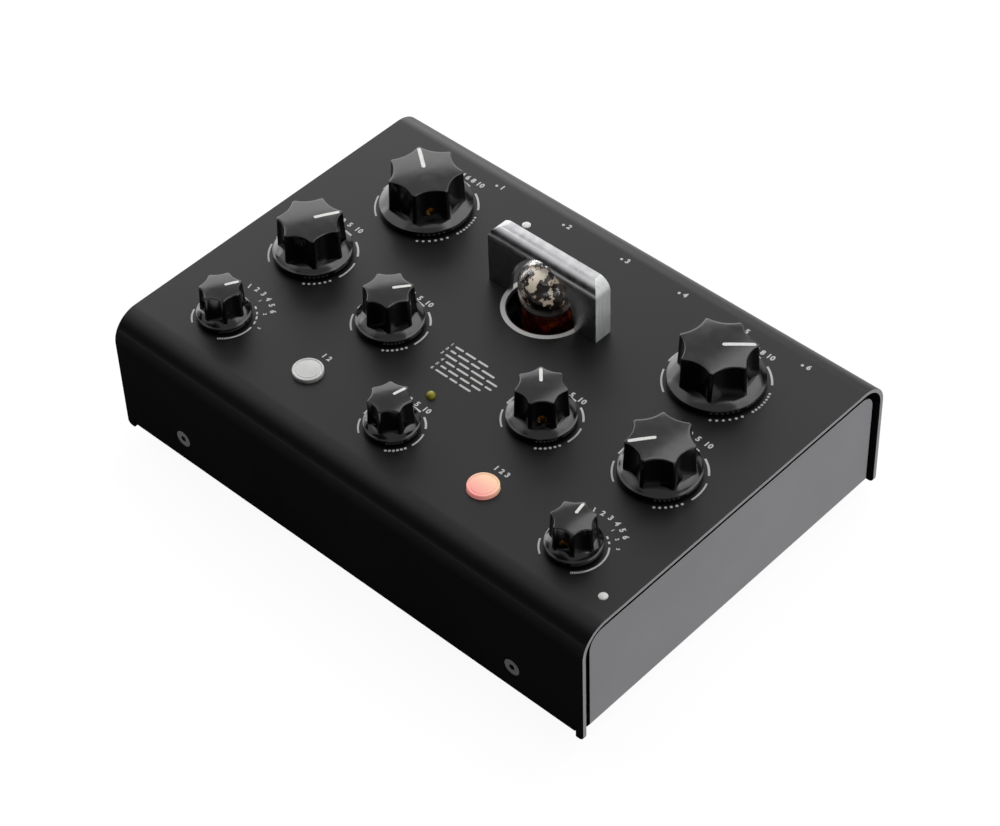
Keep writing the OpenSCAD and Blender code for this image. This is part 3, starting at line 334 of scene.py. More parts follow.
def grain(tree, size, detail=3.0, stretch=(1, 1, 1)):
    """Noise in object space with features of about the given size in metres."""
    place = add_node(tree, "TexCoord")
    mapping = add_node(tree, "Mapping", {
        "Vector": place.outputs["Object"], "Scale": [s / size for s in stretch]})
    return add_node(tree, "TexNoise", {
        "Vector": mapping.outputs["Vector"], "Scale": 1.0, "Detail": detail}).outputs["Fac"]


def bump(tree, height, strength, distance):
    return add_node(tree, "Bump", {
        "Height": height, "Strength": strength, "Distance": distance}).outputs["Normal"]


def span(tree, value, low, high):
    """Maps the middle of a noise, where most of it lies, onto low to high."""
    return add_node(tree, "MapRange", {"Value": value, "From Min": 0.3, "From Max": 0.7,
                                       "To Min": low, "To Max": high}).outputs["Result"]


def shades(tree, value, *stops):
    """Colour ramp over a 0 to 1 value; each stop is a place and a colour, linear or hex."""
    ramp = add_node(tree, "ValToRGB", {"Fac": value})
    elements = ramp.color_ramp.elements
    while len(elements) < len(stops):
        elements.new(0.5)
    for element, (place, tint) in zip(elements, stops):
        element.position = place
        element.color = linear(tint) if isinstance(tint, str) else tint
    return ramp.outputs["Color"]


def clouds(tree, value, base, first, share):
    """The base colour, drawn down to a share of its brightness where the noise is low."""
    darker = tuple(c * share for c in base[:3]) + (1,)
    return shades(tree, value, (first, darker), (0.7, base))


def along(tree, axis, low, high):
    """Runs from 0 to 1 between two places on one axis of the object."""
    place = add_node(tree, "TexCoord")
    parts = add_node(tree, "SeparateXYZ", {"Vector": place.outputs["Object"]})
    return add_node(tree, "MapRange", {
        "Value": parts.outputs[axis], "From Min": low, "From Max": high}).outputs["Result"]


def sheet_coat(name, base, fine_size, wide_size, cloud, rough, relief, **shader):
    """A coat on folded steel: a fine grain in its roughness and relief, and wide faint clouds."""
    made, tree, principled = new_material(name, Base_Color=base, **shader)
    fine, wide = grain(tree, fine_size), grain(tree, wide_size, 2.0)
    feed(principled, Base_Color=clouds(tree, wide, base, *cloud),
         Roughness=span(tree, fine, *rough), Normal=bump(tree, fine, relief, 0.02 * MM))
    return made


def powder_coat(name, base, sheen):
    """Polyester powder coat: black under a fine satin grain that gives the panel its sheen."""
    # The real grain is about 0.1 mm; it is drawn at 0.35 mm so that it shows
    return sheet_coat(name, tuple(base), 0.35 * MM, 22 * MM, (0.35, 0.86), (0.34, 0.41), 0.2,
                      Specular_IOR_Level=sheen, Roughness=0.37, IOR=1.5)


def grey_sheet():
    """Satin coat on the folded tray, its grey a painted reflection of the light from the right:
    even, with a soft sheen and a faint fine grain.
    """
    return sheet_coat("grey_sheet", tuple(colours().sheet), 0.3 * MM, 30 * MM, (0.3, 0.9),
                      (0.4, 0.5), 0.15, Metallic=0.35, Roughness=0.45)


def knob_gloss():
    """Glossy black moulded phenolic: soft mirror reflections and a faint polish haze."""
    made, tree, shader = new_material("knob_gloss", Base_Color=tuple(colours().knob),
                                      Roughness=0.14, IOR=1.55)
    feed(shader, Roughness=span(tree, grain(tree, 4 * MM), 0.11, 0.19))
    return made


def plain_finish(name, base, low, high, size, metallic=0, depth=0, stretch=(1, 1, 1)):
    """A finish of one colour that varies a little, with a grain in its roughness and relief."""
    made, tree, shader = new_material(name, Base_Color=base, Metallic=metallic,
                                      Roughness=(low + high) / 2)
    fine = grain(tree, size * MM, 3.0, stretch)
    feed(shader, Base_Color=clouds(tree, fine, base, 0.3, 0.82),
         Roughness=span(tree, fine, low, high))
    if depth:
        feed(shader, Normal=bump(tree, fine, 0.3, depth * MM))
    return made


def lit_cap():
    """Milky polycarbonate cap, lit from inside: peach behind, salmon towards the front."""
    low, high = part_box("lit_button")
    made, tree, shader = new_material("lit_cap", Base_Color="#d99a90", Roughness=0.36,
                                      Emission_Color="#ffb49a", Emission_Strength=0.36)
    back = along(tree, "Y", low.y + 1.6 * MM, high.y - 2.4 * MM)
    feed(shader, Base_Color=shades(tree, back, (0.0, "#d98d88"), (1.0, "#dcae98")),
         Emission_Color=shades(tree, back, (0.0, "#ff9c96"), (1.0, "#ffdca8")),
         Roughness=span(tree, grain(tree, 0.8 * MM), 0.3, 0.42))
    return made


def valve_glass():
    """Blown soda-lime glass: clear over the dome, smoked red-brown lower down by the heat."""
    made, tree, shader = new_material("valve_glass", Base_Color="#d8b8a8", Roughness=0.02,
                                      IOR=1.5, Transmission_Weight=1.0)
    height = along(tree, "Z", PANEL_Z + 1 * MM, PANEL_Z + 12 * MM)
    feed(shader, Base_Color=shades(
        tree, height, (0.0, "#d8b8ac"), (0.35, "#e4d2c6"), (0.7, "#ffffff")))
    # The wall is thin: light goes straight through it to the film and the stain inside
    surface = shader.outputs["BSDF"].links[0].to_socket
    rays = add_node(tree, "LightPath").outputs
    clear = add_node(tree, "BsdfTransparent", {"Color": "#f2ece6"})
    through = add_node(tree, "MixShader", {
        0: rays["Is Shadow Ray"], 1: shader.outputs["BSDF"], 2: clear.outputs["BSDF"]})
    tree.links.new(through.outputs["Shader"], surface)
    return made


def browned_glass_painted_glints():
    """Getter metal and heat stain on the glass's lower wall: dark red-brown, with painted orange
    glints in its colour.
    """
    made, tree, shader = new_material("browned_glass_painted_glints", Base_Color="#4a2015", Roughness=0.25)
    stain = grain(tree, 3.2 * MM, 4.0)
    # The orange top of the stain's ramp is painted glints: reflections and glow drawn into the
    # colour
    feed(shader, Base_Color=shades(
        tree, stain, (0.35, "#2a120d"), (0.55, "#5a2418"), (0.68, "#b0602c")),
         Roughness=span(tree, grain(tree, 0.7 * MM), 0.2, 0.35))
    return made


def getter_film():
    """Barium film flashed on the inside of the dome: silvery cream, browner where it thins out."""
    made, tree, shader = new_material("getter_film", Base_Color="#f7ead2", Roughness=0.3)
    thick = add_node(tree, "Attribute", attribute_name="film").outputs["Fac"]
    feed(shader, Base_Color=shades(
        tree, thick, (0.0, "#8a5c38"), (0.16, "#dcc39c"), (0.4, "#fbeed6"), (1.0, "#fff6e6")),
         Roughness=span(tree, grain(tree, 1.2 * MM), 0.22, 0.4))
    return made


def build_materials():
    """Makes every material once, under its own name."""
    made = [powder_coat("black_powder_coat", colours().cover, 0.25),
            # The same coat on the upright walls, flatter, so that the pale floor stays out of them;
            # their paler colour is a painted sheen in place of that gloss
            powder_coat("wall_coat_painted_sheen", colours().wall, 0.0),
            grey_sheet(), knob_gloss(), getter_film(), browned_glass_painted_glints(), valve_glass(), lit_cap(),
            # Screen-printed epoxy ink: pale grey, flat, a little uneven where the mesh laid it down
            plain_finish("screen_ink", tuple(colours().ink), 0.5, 0.65, 0.4),
            # Filled enamel in the pointer grooves: white, slightly rounded and half gloss
            plain_finish("pointer_paint", tuple(colours().pointer), 0.35, 0.5, 0.5)]
    made += [plain_finish(name, linear(tint), *numbers)
             for name, (tint, *numbers) in PLAIN_FINISHES.items()]
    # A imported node's material may have the name already, and Blender numbers the second one
    MATERIALS.update((material.name.split(".")[0], material) for material in made)


# Modelling

def clear_selection():
    """Leaves edit mode and deselects everything, so that an operator acts on its piece alone."""
    if bpy.context.object and bpy.context.object.mode != "OBJECT":
        bpy.ops.object.mode_set(mode="OBJECT")
    bpy.ops.object.select_all(action="DESELECT")


def pick(piece):
    """Makes a piece the only selected and the active one."""
    clear_selection()
    piece.select_set(True)
    bpy.context.view_layer.objects.active = piece


def open_edit(piece, merge=None):
    """Enters edit mode with the whole piece selected, and merges points closer than a distance."""
    pick(piece)
    bpy.ops.object.mode_set(mode="EDIT")
    bpy.ops.mesh.select_all(action="SELECT")
    if merge:
        bpy.ops.mesh.remove_doubles(threshold=merge)


def close_solid(piece):
    """Turns every face outwards and leaves edit mode."""
    bpy.ops.mesh.select_all(action="SELECT")
    bpy.ops.mesh.normals_make_consistent(inside=False)
    bpy.ops.object.mode_set(mode="OBJECT")
    return piece


def modify(piece, kind, **settings):
    """Adds a modifier with its settings and applies it."""
    pick(piece)
    modifier = piece.modifiers.new(kind.lower(), kind)
    for name, value in settings.items():
        setattr(modifier, name, value)
    bpy.ops.object.modifier_apply(modifier=modifier.name)
    return piece


def bisect(piece, planes, **settings):
    """Cuts a whole piece along planes, each a point and a normal."""
    open_edit(piece)
    for place, normal in planes:
        bpy.ops.mesh.select_all(action="SELECT")
        bpy.ops.mesh.bisect(plane_co=place, plane_no=normal, **settings)
    bpy.ops.object.mode_set(mode="OBJECT")


def add_object(name, data):
    """A new object of some data in the scene."""
    made = bpy.data.objects.new(name, data)
    bpy.context.scene.collection.objects.link(made)
    return made


def place_mesh(piece, matrix):
    """Moves a finished mesh by a matrix and leaves its object at the origin."""
    piece.data.transform(matrix)
    piece.data.update()
    return piece


def place_over(piece, node, height=0.0, turn=0.0):
    """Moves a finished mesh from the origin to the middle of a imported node, turned in degrees."""
    place = Matrix.Translation((*middle(node).xy, height))
    return place_mesh(piece, place @ Matrix.Rotation(math.radians(turn), 4, "Z"))


def add_outline(points):
    """A flat face with the given outline: a circle whose points are drawn out to their places."""
    clear_selection()
    bpy.ops.mesh.primitive_circle_add(vertices=len(points), radius=1.0, fill_type="NGON")
    piece = bpy.context.object
    for vertex, point in zip(piece.data.vertices, points):
        vertex.co = point
    return piece


def extrude_by(piece, move):
    """Extrudes flat outlines into closed solids."""
    open_edit(piece, merge=1e-7)
    bpy.ops.mesh.extrude_region_move(TRANSFORM_OT_translate={"value": move})
    return close_solid(piece)


def add_wrapped(steps, rows, place):
    """A grid wrapped round the Z axis: place(turn, row) gives a point for a turn of 0 to 1."""
    clear_selection()
    bpy.ops.mesh.primitive_grid_add(x_subdivisions=steps, y_subdivisions=rows - 1, size=2)
    piece = bpy.context.object
    for vertex in piece.data.vertices:
        turn, row = (vertex.co.x + 1) / 2, round((vertex.co.y + 1) / 2 * (rows - 1))
        vertex.co = place(turn, row)
    open_edit(piece, merge=1e-6)
    return close_solid(piece)


def add_lathe(profile, steps=96):
    """Turns a profile of (radius, height) points round the Z axis."""
    def place(turn, row):
        radius, height = profile[row]
        return (*polar(radius, 2 * math.pi * turn), height)
    return add_wrapped(steps, len(profile), place)


def add_rod(radius, start, end, sides):
    """A round rod between two points."""
    clear_selection()
    start, end = Vector(start), Vector(end)
    bpy.ops.mesh.primitive_cylinder_add(vertices=sides, radius=radius, depth=(end - start).length)
    turn = (end - start).to_track_quat("Z", "Y").to_matrix().to_4x4()
    return place_mesh(bpy.context.object, Matrix.Translation((start + end) / 2) @ turn)


def combine(piece, other, operation):
    """Joins, cuts or intersects a piece with another, which is used up."""
    modify(piece, "BOOLEAN", object=other, operation=operation, solver="EXACT")
    bpy.data.objects.remove(other)
    return piece


def smooth(piece, angle=38):
    """Smooth shading up to an angle, with the large faces keeping their own normals."""
    pick(piece)
    bpy.ops.object.shade_smooth_by_angle(angle=math.radians(angle))
    return modify(piece, "WEIGHTED_NORMAL", keep_sharp=True)


def round_edges(piece, width, segments):
    """Rounds every edge sharper than 35 degrees."""
    return modify(piece, "BEVEL", width=width, segments=segments, limit_method="ANGLE",
                  angle_limit=math.radians(35), use_clamp_overlap=True)


def settle(piece, name, node, slot_name, material, others=()):
    """Names a finished piece, and gives it its finish and the body that the node is on.

    Others are further finishes, each with a test: a face takes one if test(centre, normal) holds.
    """
    piece.name = name
    piece.data.name = name
    piece.data.materials.clear()
    piece.data.materials.append(MATERIALS[material])
    for face in piece.data.polygons:
        face.material_index = 0
    for count, (other, test) in enumerate(others):
        piece.data.materials.append(MATERIALS[other])
        for face in piece.data.polygons:
            if test(face.center, face.normal):
                face.material_index = count + 1
    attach(piece, BODY_OF[node])


def settle_print(piece, name):
    """Settles a print on the cover."""
    settle(piece, name, "cover", "white_cap", "screen_ink")


def stand_for(piece, name, node, others=()):
    """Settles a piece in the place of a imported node, with its finish, and hides the node."""
    settle(piece, name, node, SLOT_OF[node], SLOT_OF[node], others)
    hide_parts(node)


def join(pieces):
    """Joins pieces into the first of them."""
    clear_selection()
    for piece in pieces:
        piece.select_set(True)
    bpy.context.view_layer.objects.active = pieces[0]
    bpy.ops.object.join()
    return bpy.context.object


def add_arc(radius, width, start, end):
    """A flat strip bent to part of a circle about the origin, from and to in degrees."""
    clear_selection()
    degrees_per_step = 3
    steps = max(2, round((end - start) / degrees_per_step))
    bpy.ops.mesh.primitive_grid_add(x_subdivisions=steps, y_subdivisions=1, size=2)
    piece = bpy.context.object
    for vertex in piece.data.vertices:
        angle = math.radians(start + (end - start) * (vertex.co.x + 1) / 2)
        vertex.co = (*polar(radius - width / 2 * vertex.co.y, angle), 0)
    return piece


def add_dot(radius, place):
    """A flat round dot."""
    clear_selection()
    bpy.ops.mesh.primitive_circle_add(vertices=14, radius=radius, fill_type="NGON",
                                      location=(*place, 0))
    bpy.ops.object.transform_apply(location=True, rotation=True, scale=True)
    return bpy.context.object


def add_bar(start, end, y, height):
    """A flat bar with cut corners, as a word of the key."""
    half, cut = height / 2, height * 0.3
    return add_outline([(x, y + rise, 0) for x, rise in (
        (start + cut, -half), (end - cut, -half), (end, cut - half), (end, half - cut),
        (end - cut, half), (start + cut, half), (start, half - cut), (start, cut - half))])


def add_numerals(text, height, x, y, turn=0.0):
    """Raised numerals of a height, centred on a point of the panel in mm and turned about it."""
    clear_selection()
    bpy.ops.object.text_add()
    lettering = bpy.context.object.data
    lettering.body = text
    # The font's capitals are 0.72 of its size
    lettering.size = height * MM / 0.72
    lettering.align_x = lettering.align_y = "CENTER"
    lettering.space_character = 1.08
    lettering.resolution_u = 3
    lettering.offset = 0.05 * (height * MM)
    lettering.extrude = (INK_PROUD + INK_SUNK) / 2
    bpy.ops.object.convert(target="MESH")
    open_edit(bpy.context.object, merge=1e-7)
    level = PANEL_Z + (INK_PROUD - INK_SUNK) / 2
    return place_mesh(close_solid(bpy.context.object), Matrix.Translation((x * MM, y * MM, level))
                      @ Matrix.Rotation(math.radians(turn), 4, "Z"))


def print_flat(piece):
    """Gives flat shapes at the origin's level the thickness of ink and lays them on the panel."""
    extrude_by(piece, (0, 0, INK_PROUD + INK_SUNK))
    return place_mesh(piece, Matrix.Translation((0, 0, PANEL_Z - INK_SUNK)))


def refine(node, edge):
    """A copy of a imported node, its triangles joined into whole faces and its edges rounded."""
    piece = add_object(node, NODES[node].data.copy())
    open_edit(piece, merge=1e-6)
    bpy.ops.mesh.dissolve_limited(angle_limit=math.radians(0.4))
    bpy.ops.object.mode_set(mode="OBJECT")
    if node == "base_tray":
        draw_in_side_panels(piece)
    return smooth(round_edges(piece, edge, 2), 40)


def draw_in_side_panels(tray):
    """Draws the rims of the side panels in, so that the gap to the cover shows as a dark line."""
    reach = max(abs(vertex.co.x) for vertex in tray.data.vertices)
    sheet_inside = reach - SIDE_PANEL_T - 0.1 * MM
    mesh = bmesh.new()
    mesh.from_mesh(tray.data)
    moves = {}
    for corner in mesh.verts:
        rims = [face.normal for face in corner.link_faces
                if abs(face.normal.x) < 0.3 and face.normal.z > -0.3]
        if abs(corner.co.x) > sheet_inside and corner.co.z > SIDE_PANEL_LOW and rims:
            moves[corner] = sum(rims, Vector()).normalized() * -SIDE_PANEL_DRAW
    for corner, move in moves.items():
        corner.co += move
        if abs(corner.co.x) > reach - 0.01 * MM:
            corner.co.x = math.copysign(reach, corner.co.x)
    mesh.to_mesh(tray.data)
    mesh.free()


def lobe_reach(angle, lobe_r, flute, inset):
    """Radius of a fluted column at an angle from a lobe's middle, drawn in evenly by the inset."""
    tip_half, rounding = 0.45 * MM, 0.3 * MM
    pitch = 2 * math.pi / FLUTES
    valley_r = lobe_r - flute
    # The flute is a circle through the valley and the edges of two lobe tips
    half = pitch / 2 - math.asin(tip_half / lobe_r)
    reach = lobe_r * math.cos(half)
    flute_r = (lobe_r ** 2 - 2 * valley_r * reach + valley_r ** 2) / (2 * (reach - valley_r))
    centre_r = valley_r + flute_r
    beside = pitch / 2 - abs((angle + pitch / 2) % pitch - pitch / 2)
    room = (flute_r + inset) ** 2 - (centre_r * math.sin(beside)) ** 2
    tip = lobe_r - inset
    if room <= 0:
        return tip
    wall = centre_r * math.cos(beside) - math.sqrt(room)
    near = max(rounding - abs(tip - wall), 0) / rounding
    return min(tip, wall) - near ** 2 * rounding / 4


def skirt_profile(skirt_r, crown_r, crown_z, rim_z, base_z):
    """Half section of a knob's skirt: upright rim, rounded edges and a crown that rises inwards."""
    edge, steps = 0.35 * MM, 10
    corner_r, corner_z = skirt_r - edge, rim_z - edge
    low = arc_points(edge, -90, 0, 4, (corner_r, base_z + edge))
    top = arc_points(edge, 0, 90, 4, (corner_r, corner_z))
    parts = [1 - step / steps for step in range(1, steps + 1)]
    crown = [(crown_r + (corner_r - crown_r) * part, crown_z - (crown_z - rim_z) * part ** 2)
             for part in parts]
    return [(0, base_z), *low, *top, *crown, (0, crown_z)]


def add_fluted_column(size, height, sunk_z, edge):
    """The fluted part of a knob: drafted walls, a rounded top edge and a slightly domed top."""
    lobe_r, flute = LOBES[size]
    draft, crowding = 0.5 * MM, 0.12
    flat_z = height - KNOB_DOME
    # Each row: how far the outline is drawn in, its share of the reach and its drop below the dome
    rows = [(-draft, 0, flat_z - sunk_z), (-draft, 1, flat_z - sunk_z), (0, 1, edge)]
    for step in range(1, 6):
        angle = math.radians(18 * step)
        rows.append((edge * (1 - math.cos(angle)), 1, edge * (1 - math.sin(angle))))
    rows += [(edge, share, 0) for share in (0.93, 0.8, 0.62, 0.42, 0.2, 0)]
    pitch = 2 * math.pi / FLUTES

    def place(turn, row):
        inset, share, drop = rows[row]
        # Crowds the steps towards the lobe tips, where the outline bends most
        lobe, part = divmod(turn * FLUTES + 0.5, 1)
        bunched = crowding * math.sin(2 * math.pi * (part - 0.5))
        angle = pitch * (lobe + part - 0.5 - bunched)
        radius = share * lobe_reach(angle, lobe_r, flute, inset)
        rise = KNOB_DOME * (1 - min(1, radius / lobe_r) ** 2) if row > 1 else 0
        return (*polar(radius, angle), flat_z - drop + rise)

    return add_wrapped(FLUTES * STEPS_PER_FLUTE, len(rows), place)


def model_knob(size, skirt_r, height):
    """One knob at the origin, its pointer lobe on +X and the panel at height zero."""
    lobe_r, flute = LOBES[size]
    crown_z, rim_z, base_z, sunk = 4.1 * MM, 2.5 * MM, 0.6 * MM, 1.2 * MM
    knob = add_fluted_column(size, height, crown_z - sunk, sizes().knob_edge)
    skirt = add_lathe(skirt_profile(skirt_r, lobe_r - flute - sunk, crown_z, rim_z, base_z), 144)
    combine(knob, skirt, "UNION")
    # Room for the nut and the shaft, and the set screw's hole opposite the pointer
    recess_r, recess_z, bore_r, bore_z = 6.27 * MM, 3.2 * MM, 3.02 * MM, height - 3 * MM
    bore = add_lathe([(0, -OVER), (recess_r, -OVER), (recess_r, recess_z), (bore_r, recess_z),
                      (bore_r, bore_z), (0, bore_z)], 64)
    combine(knob, bore, "DIFFERENCE")
    screw_z, screw_r = 6.9 * MM, 1.55 * MM
    hole = add_rod(screw_r, (0, 0, screw_z), (-skirt_r, 0, screw_z), 48)
    return smooth(combine(knob, hole, "DIFFERENCE"))


def model_pointer(size, height):
    """The painted line in a knob's pointer groove: a thin strip with round ends along +X."""
    lobe_r = LOBES[size][0]
    half_w = (0.6 * MM + 0.055 * lobe_r) / 2
    start, end = 1.3 * MM + half_w, lobe_r - 0.9 * MM - half_w
    rim = [*arc_points(half_w, -90, 90, 8, (end, 0)), *arc_points(half_w, 90, 270, 8, (start, 0))]
    lift, sunk = 0.05 * MM, 0.3 * MM
    strip = extrude_by(add_outline([(x, y, 0) for x, y in rim]), (0, 0, lift + sunk))
    # Cuts across the strip let it follow the dome
    cuts = 12
    bisect(strip, [((start + (end - start) * cut / cuts, 0, 0), (1, 0, 0))
                   for cut in range(cuts + 1)])
    for vertex in strip.data.vertices:
        rise = KNOB_DOME * (1 - min(1, vertex.co.xy.length / lobe_r) ** 2)
        vertex.co.z += height - KNOB_DOME - sunk + rise
    return smooth(strip)


def model_scale(radius, beaded):
    """The flat printed arcs round one control; on the largest the fine arc is a row of beads."""
    line = sizes().line
    shapes = [add_arc(radius, line * BOLD if arc == PLAIN_ARCS[0] else line, *arc)
              for arc in PLAIN_ARCS]
    rows = [(DOTTED_ARC, *DOTS)]
    if beaded:
        rows.append((FINE_ARC, *BEADS))
    else:
        shapes.append(add_arc(radius, line, *FINE_ARC))
    for (start, end), count, dot_r in rows:
        shapes += [add_dot(dot_r, point)
                   for point in arc_points(radius, start, end, count - 1, (0, 0))]
    return join(shapes)


def model_mode_scale(radius, arc, marks):
    """The flat arcs round a mode switch: one long arc that starts in ticks, and short ones."""
    line = sizes().line
    start, end = arc
    shapes = [add_arc(radius, line, *ends)
              for ends in ((start + TICKED, end), MODE_REAR_ARC, *marks)]
    for tick in range(TICKS):
        first = start + tick * TICK_PITCH
        shapes.append(add_arc(radius, line * TICK_BOLD, first, first + TICK_LENGTH))
    return join(shapes)


def model_button(node):
    """A round cap with a rolled rim, a fine groove inside it, a low crown, its flange and stem."""
    low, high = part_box(node)
    cap_r, flange_r, stem_r, top = 5.1 * MM, half_width(node), 1.7 * MM, high.z
    flange_top = PANEL_Z - 1.6 * MM
    flange_bottom = flange_top - 1.2 * MM
    # Radius and drop of the low crown and of the groove, in mm
    crown = [(radius * MM, top - drop * MM) for radius, drop in (
        (0, 0), (1.2, 0.01), (2.4, 0.05), (3.5, 0.11), (3.88, 0.14), (3.96, 0.28), (4.16, 0.28))]
    rim_r, rim_top = 0.42 * MM, top - 0.04 * MM
    rim = arc_points(rim_r, 150, 0, 10, (cap_r - rim_r, rim_top - rim_r))
    body = [(cap_r, flange_top), (flange_r, flange_top), (flange_r, flange_bottom),
            (stem_r, flange_bottom), (stem_r, low.z), (0, low.z)]
    return smooth(place_over(add_lathe([*crown, *rim, *body]), node), 50)


def guard_block(inset, past):
    """The guard as a full block, drawn in by the inset: front and ends bend down from its roof."""
    low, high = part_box("valve_guard")
    front, back, top, reach = low.y + inset, high.y + past, high.z - inset, high.x - inset
    foot, bend, end_bend = PANEL_Z - past, GUARD_BEND - inset, GUARD_END_BEND - inset
    side = [(back, foot), (back, top), *arc_points(bend, 90, 180, 16, (front + bend, top - bend)),
            (front, foot)]
    block = extrude_by(add_outline([(-reach, y, z) for y, z in side]), (2 * reach, 0, 0))
    face = [(reach, foot), *arc_points(end_bend, 0, 90, 16, (reach - end_bend, top - end_bend)),
            *arc_points(end_bend, 90, 180, 16, (end_bend - reach, top - end_bend)), (-reach, foot)]
    ends = extrude_by(add_outline([(x, front - OVER, z) for x, z in face]),
                      (0, back - front + 2 * OVER, 0))
    return combine(block, ends, "INTERSECT")


def model_guard():
    """The bridge over the valve: a bent, mitred sheet with an arch in its front and tabs below."""
    low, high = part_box("valve_guard")
    front, width = low.y, high.x - low.x
    sheet = combine(guard_block(0, 0), guard_block(GUARD_SHEET, 2 * MM), "DIFFERENCE")
    arch = [(ARCH_W / 2 * x, ARCH_H * z) for x, z in arc_points(1, 0, 180, 45, (0, 0))]
    arch = [(ARCH_W / 2, -OVER), *arch, (-ARCH_W / 2, -OVER)]
    arch = add_outline([(x, front - OVER, PANEL_Z + z) for x, z in arch])
    combine(sheet, extrude_by(arch, (0, GUARD_SHEET + 2 * OVER, 0)), "DIFFERENCE")
    tab_half, tab_root, behind = 2.5 * MM, 0.5 * MM, front + GUARD_SHEET
    for side in (-1, 1):
        centre = side * (ARCH_W + width) / 4
        left, right = centre - tab_half, centre + tab_half
        tab = add_outline([(left, front, low.z), (right, front, low.z), (right, behind, low.z),
                           (left, behind, low.z)])
        combine(sheet, extrude_by(tab, (0, 0, PANEL_Z - low.z + tab_root)), "UNION")
    return smooth(round_edges(sheet, 0.25 * MM, 3), 30)


def model_getter_film():
    """A thin film inside the glass's dome with torn edges; its thickness is kept for the finish."""
    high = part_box("valve_glass")[1]
    dome, skirt = 7 * MM, 3.5 * MM
    radius, rise = half_width("valve_glass") - GLASS_INSIDE, dome - GLASS_INSIDE
    shoulder = high.z - 2.2 * MM - dome
    rows, steps, skirt_rows = 64, 320, 20

    def place(turn, row):
        if row < skirt_rows:
            reach, height = radius, shoulder - skirt * (1 - row / skirt_rows)
        else:
            reach, height = polar(1, math.pi / 2 * (row - skirt_rows) / (rows - 1 - skirt_rows))
            reach, height = radius * reach, shoulder + rise * height
        return (*polar(reach, 2 * math.pi * turn), height)

    film = add_wrapped(steps, rows, place)
    thick = film.data.attributes.new("film", "FLOAT", "POINT")
    # Size of the tears and their place in the noise, its contrast, how much more film there is
    # towards the top, and how much less all over
    torn, offset, contrast, upwards, less = 3.2 * MM, Vector((5.3, 2.9, 8.1)), 1.6, 0.3, 0.06
    for vertex, value in zip(film.data.vertices, thick.data):
        height = (vertex.co.z - (shoulder - skirt)) / (rise + skirt)
        blot = noise.fractal(vertex.co / torn + offset, 0.75, 2.3, 6)
        value.value = min(1, max(0, 0.5 + blot * contrast + upwards * (height - 0.5) - less))
    mesh = bmesh.new()
    mesh.from_mesh(film.data)
    layer = mesh.verts.layers.float["film"]
    gone = [face for face in mesh.faces
            if sum(corner[layer] for corner in face.verts) / len(face.verts) < 0.5]
    bmesh.ops.delete(mesh, geom=gone, context="FACES")
    # What is left runs from about 0 at its torn edges to 1
    bare, full = 0.48, 0.3
    for corner in mesh.verts:
        corner[layer] = min(1, (corner[layer] - bare) / full)
    mesh.to_mesh(film.data)
    mesh.free()
    modify(film, "SOLIDIFY", thickness=0.03 * MM, offset=-1)
    return smooth(place_over(film, "valve_glass"), 60)


def model_inner_band(bottom, top, wall):
    """A thin ring against the inside of the valve's glass, between two heights over the panel."""
    outer = half_width("valve_glass") - GLASS_INSIDE
    inner, low, high = outer - wall, PANEL_Z + bottom, PANEL_Z + top
    band = add_lathe([(outer, low), (outer, high), (inner, high), (inner, low), (outer, low)])
    return smooth(place_over(band, "valve_glass"))


# Operators

class PEDAL_OT_frame_finish(bpy.types.Operator):
    """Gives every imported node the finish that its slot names"""

    bl_idname = "pedal.frame_finish"
    bl_label = "Finish the packed nodes"

    def execute(self, context):
        build_materials()
        for node, slot_name in SLOT_OF.items():
            NODES[node].data.materials.clear()
            NODES[node].data.materials.append(MATERIALS[slot_name])
        return {"FINISHED"}


class PEDAL_OT_sheets_and_sockets(bpy.types.Operator):
    """Rounds the sharp edges of the folded sheets, the screws, the feet and the rear sockets"""

    bl_idname = "pedal.sheets_and_sockets"
    bl_label = "Sheets and sockets"

    def execute(self, context):
        reach = max(abs(corner.x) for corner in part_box("cover"))
        others = {
            # The upright walls take the coat whose paler colour is a painted sheen
            "cover": (("wall_coat_painted_sheen", lambda centre, normal: normal.z < 0.55),
                      # The cut edges at the cover's ends are painted pale as a highlight
                      ("painted_edge_highlight", lambda centre, normal: abs(normal.x) > 0.8
                       and abs(centre.x) > reach - 0.01 * MM)),
            # The rims of the side panels are painted black as painted shade, so that the gap reads
            # as a dark line
            "base_tray": (("black_steel", lambda centre, normal: abs(normal.x) < 0.3
                           and centre.z > SIDE_PANEL_LOW and abs(centre.x) > reach - 3 * MM),),
        }
        for node, edge in FINE_EDGES.items():
            name = "folded_cover" if node == "cover" else node + "_finished"
            stand_for(refine(node, edge * MM), name, node, others.get(node, ()))
        return {"FINISHED"}


class PEDAL_OT_knobs(bpy.types.Operator):
    """Models one fluted knob and pointer for each size and copies them to the nine controls"""

    bl_idname = "pedal.knobs"
    bl_label = "Knobs and pointers"

    def execute(self, context):
        models = {}
        for name, (size, turn) in KNOBS.items():
            node = "knob_" + name
            if size not in models:
                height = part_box(node)[1].z - PANEL_Z
                models[size] = (model_knob(size, half_width(node), height),
                                model_pointer(size, height))
            knob, pointer = (place_over(add_object(name, model.data.copy()), node, PANEL_Z, turn)
                             for model in models[size])
            stand_for(knob, name + "_knob", node)
            settle(pointer, name + "_pointer", node, "knob_gloss", "pointer_paint")
        for model in (piece for pair in models.values() for piece in pair):
            bpy.data.objects.remove(model)
        return {"FINISHED"}


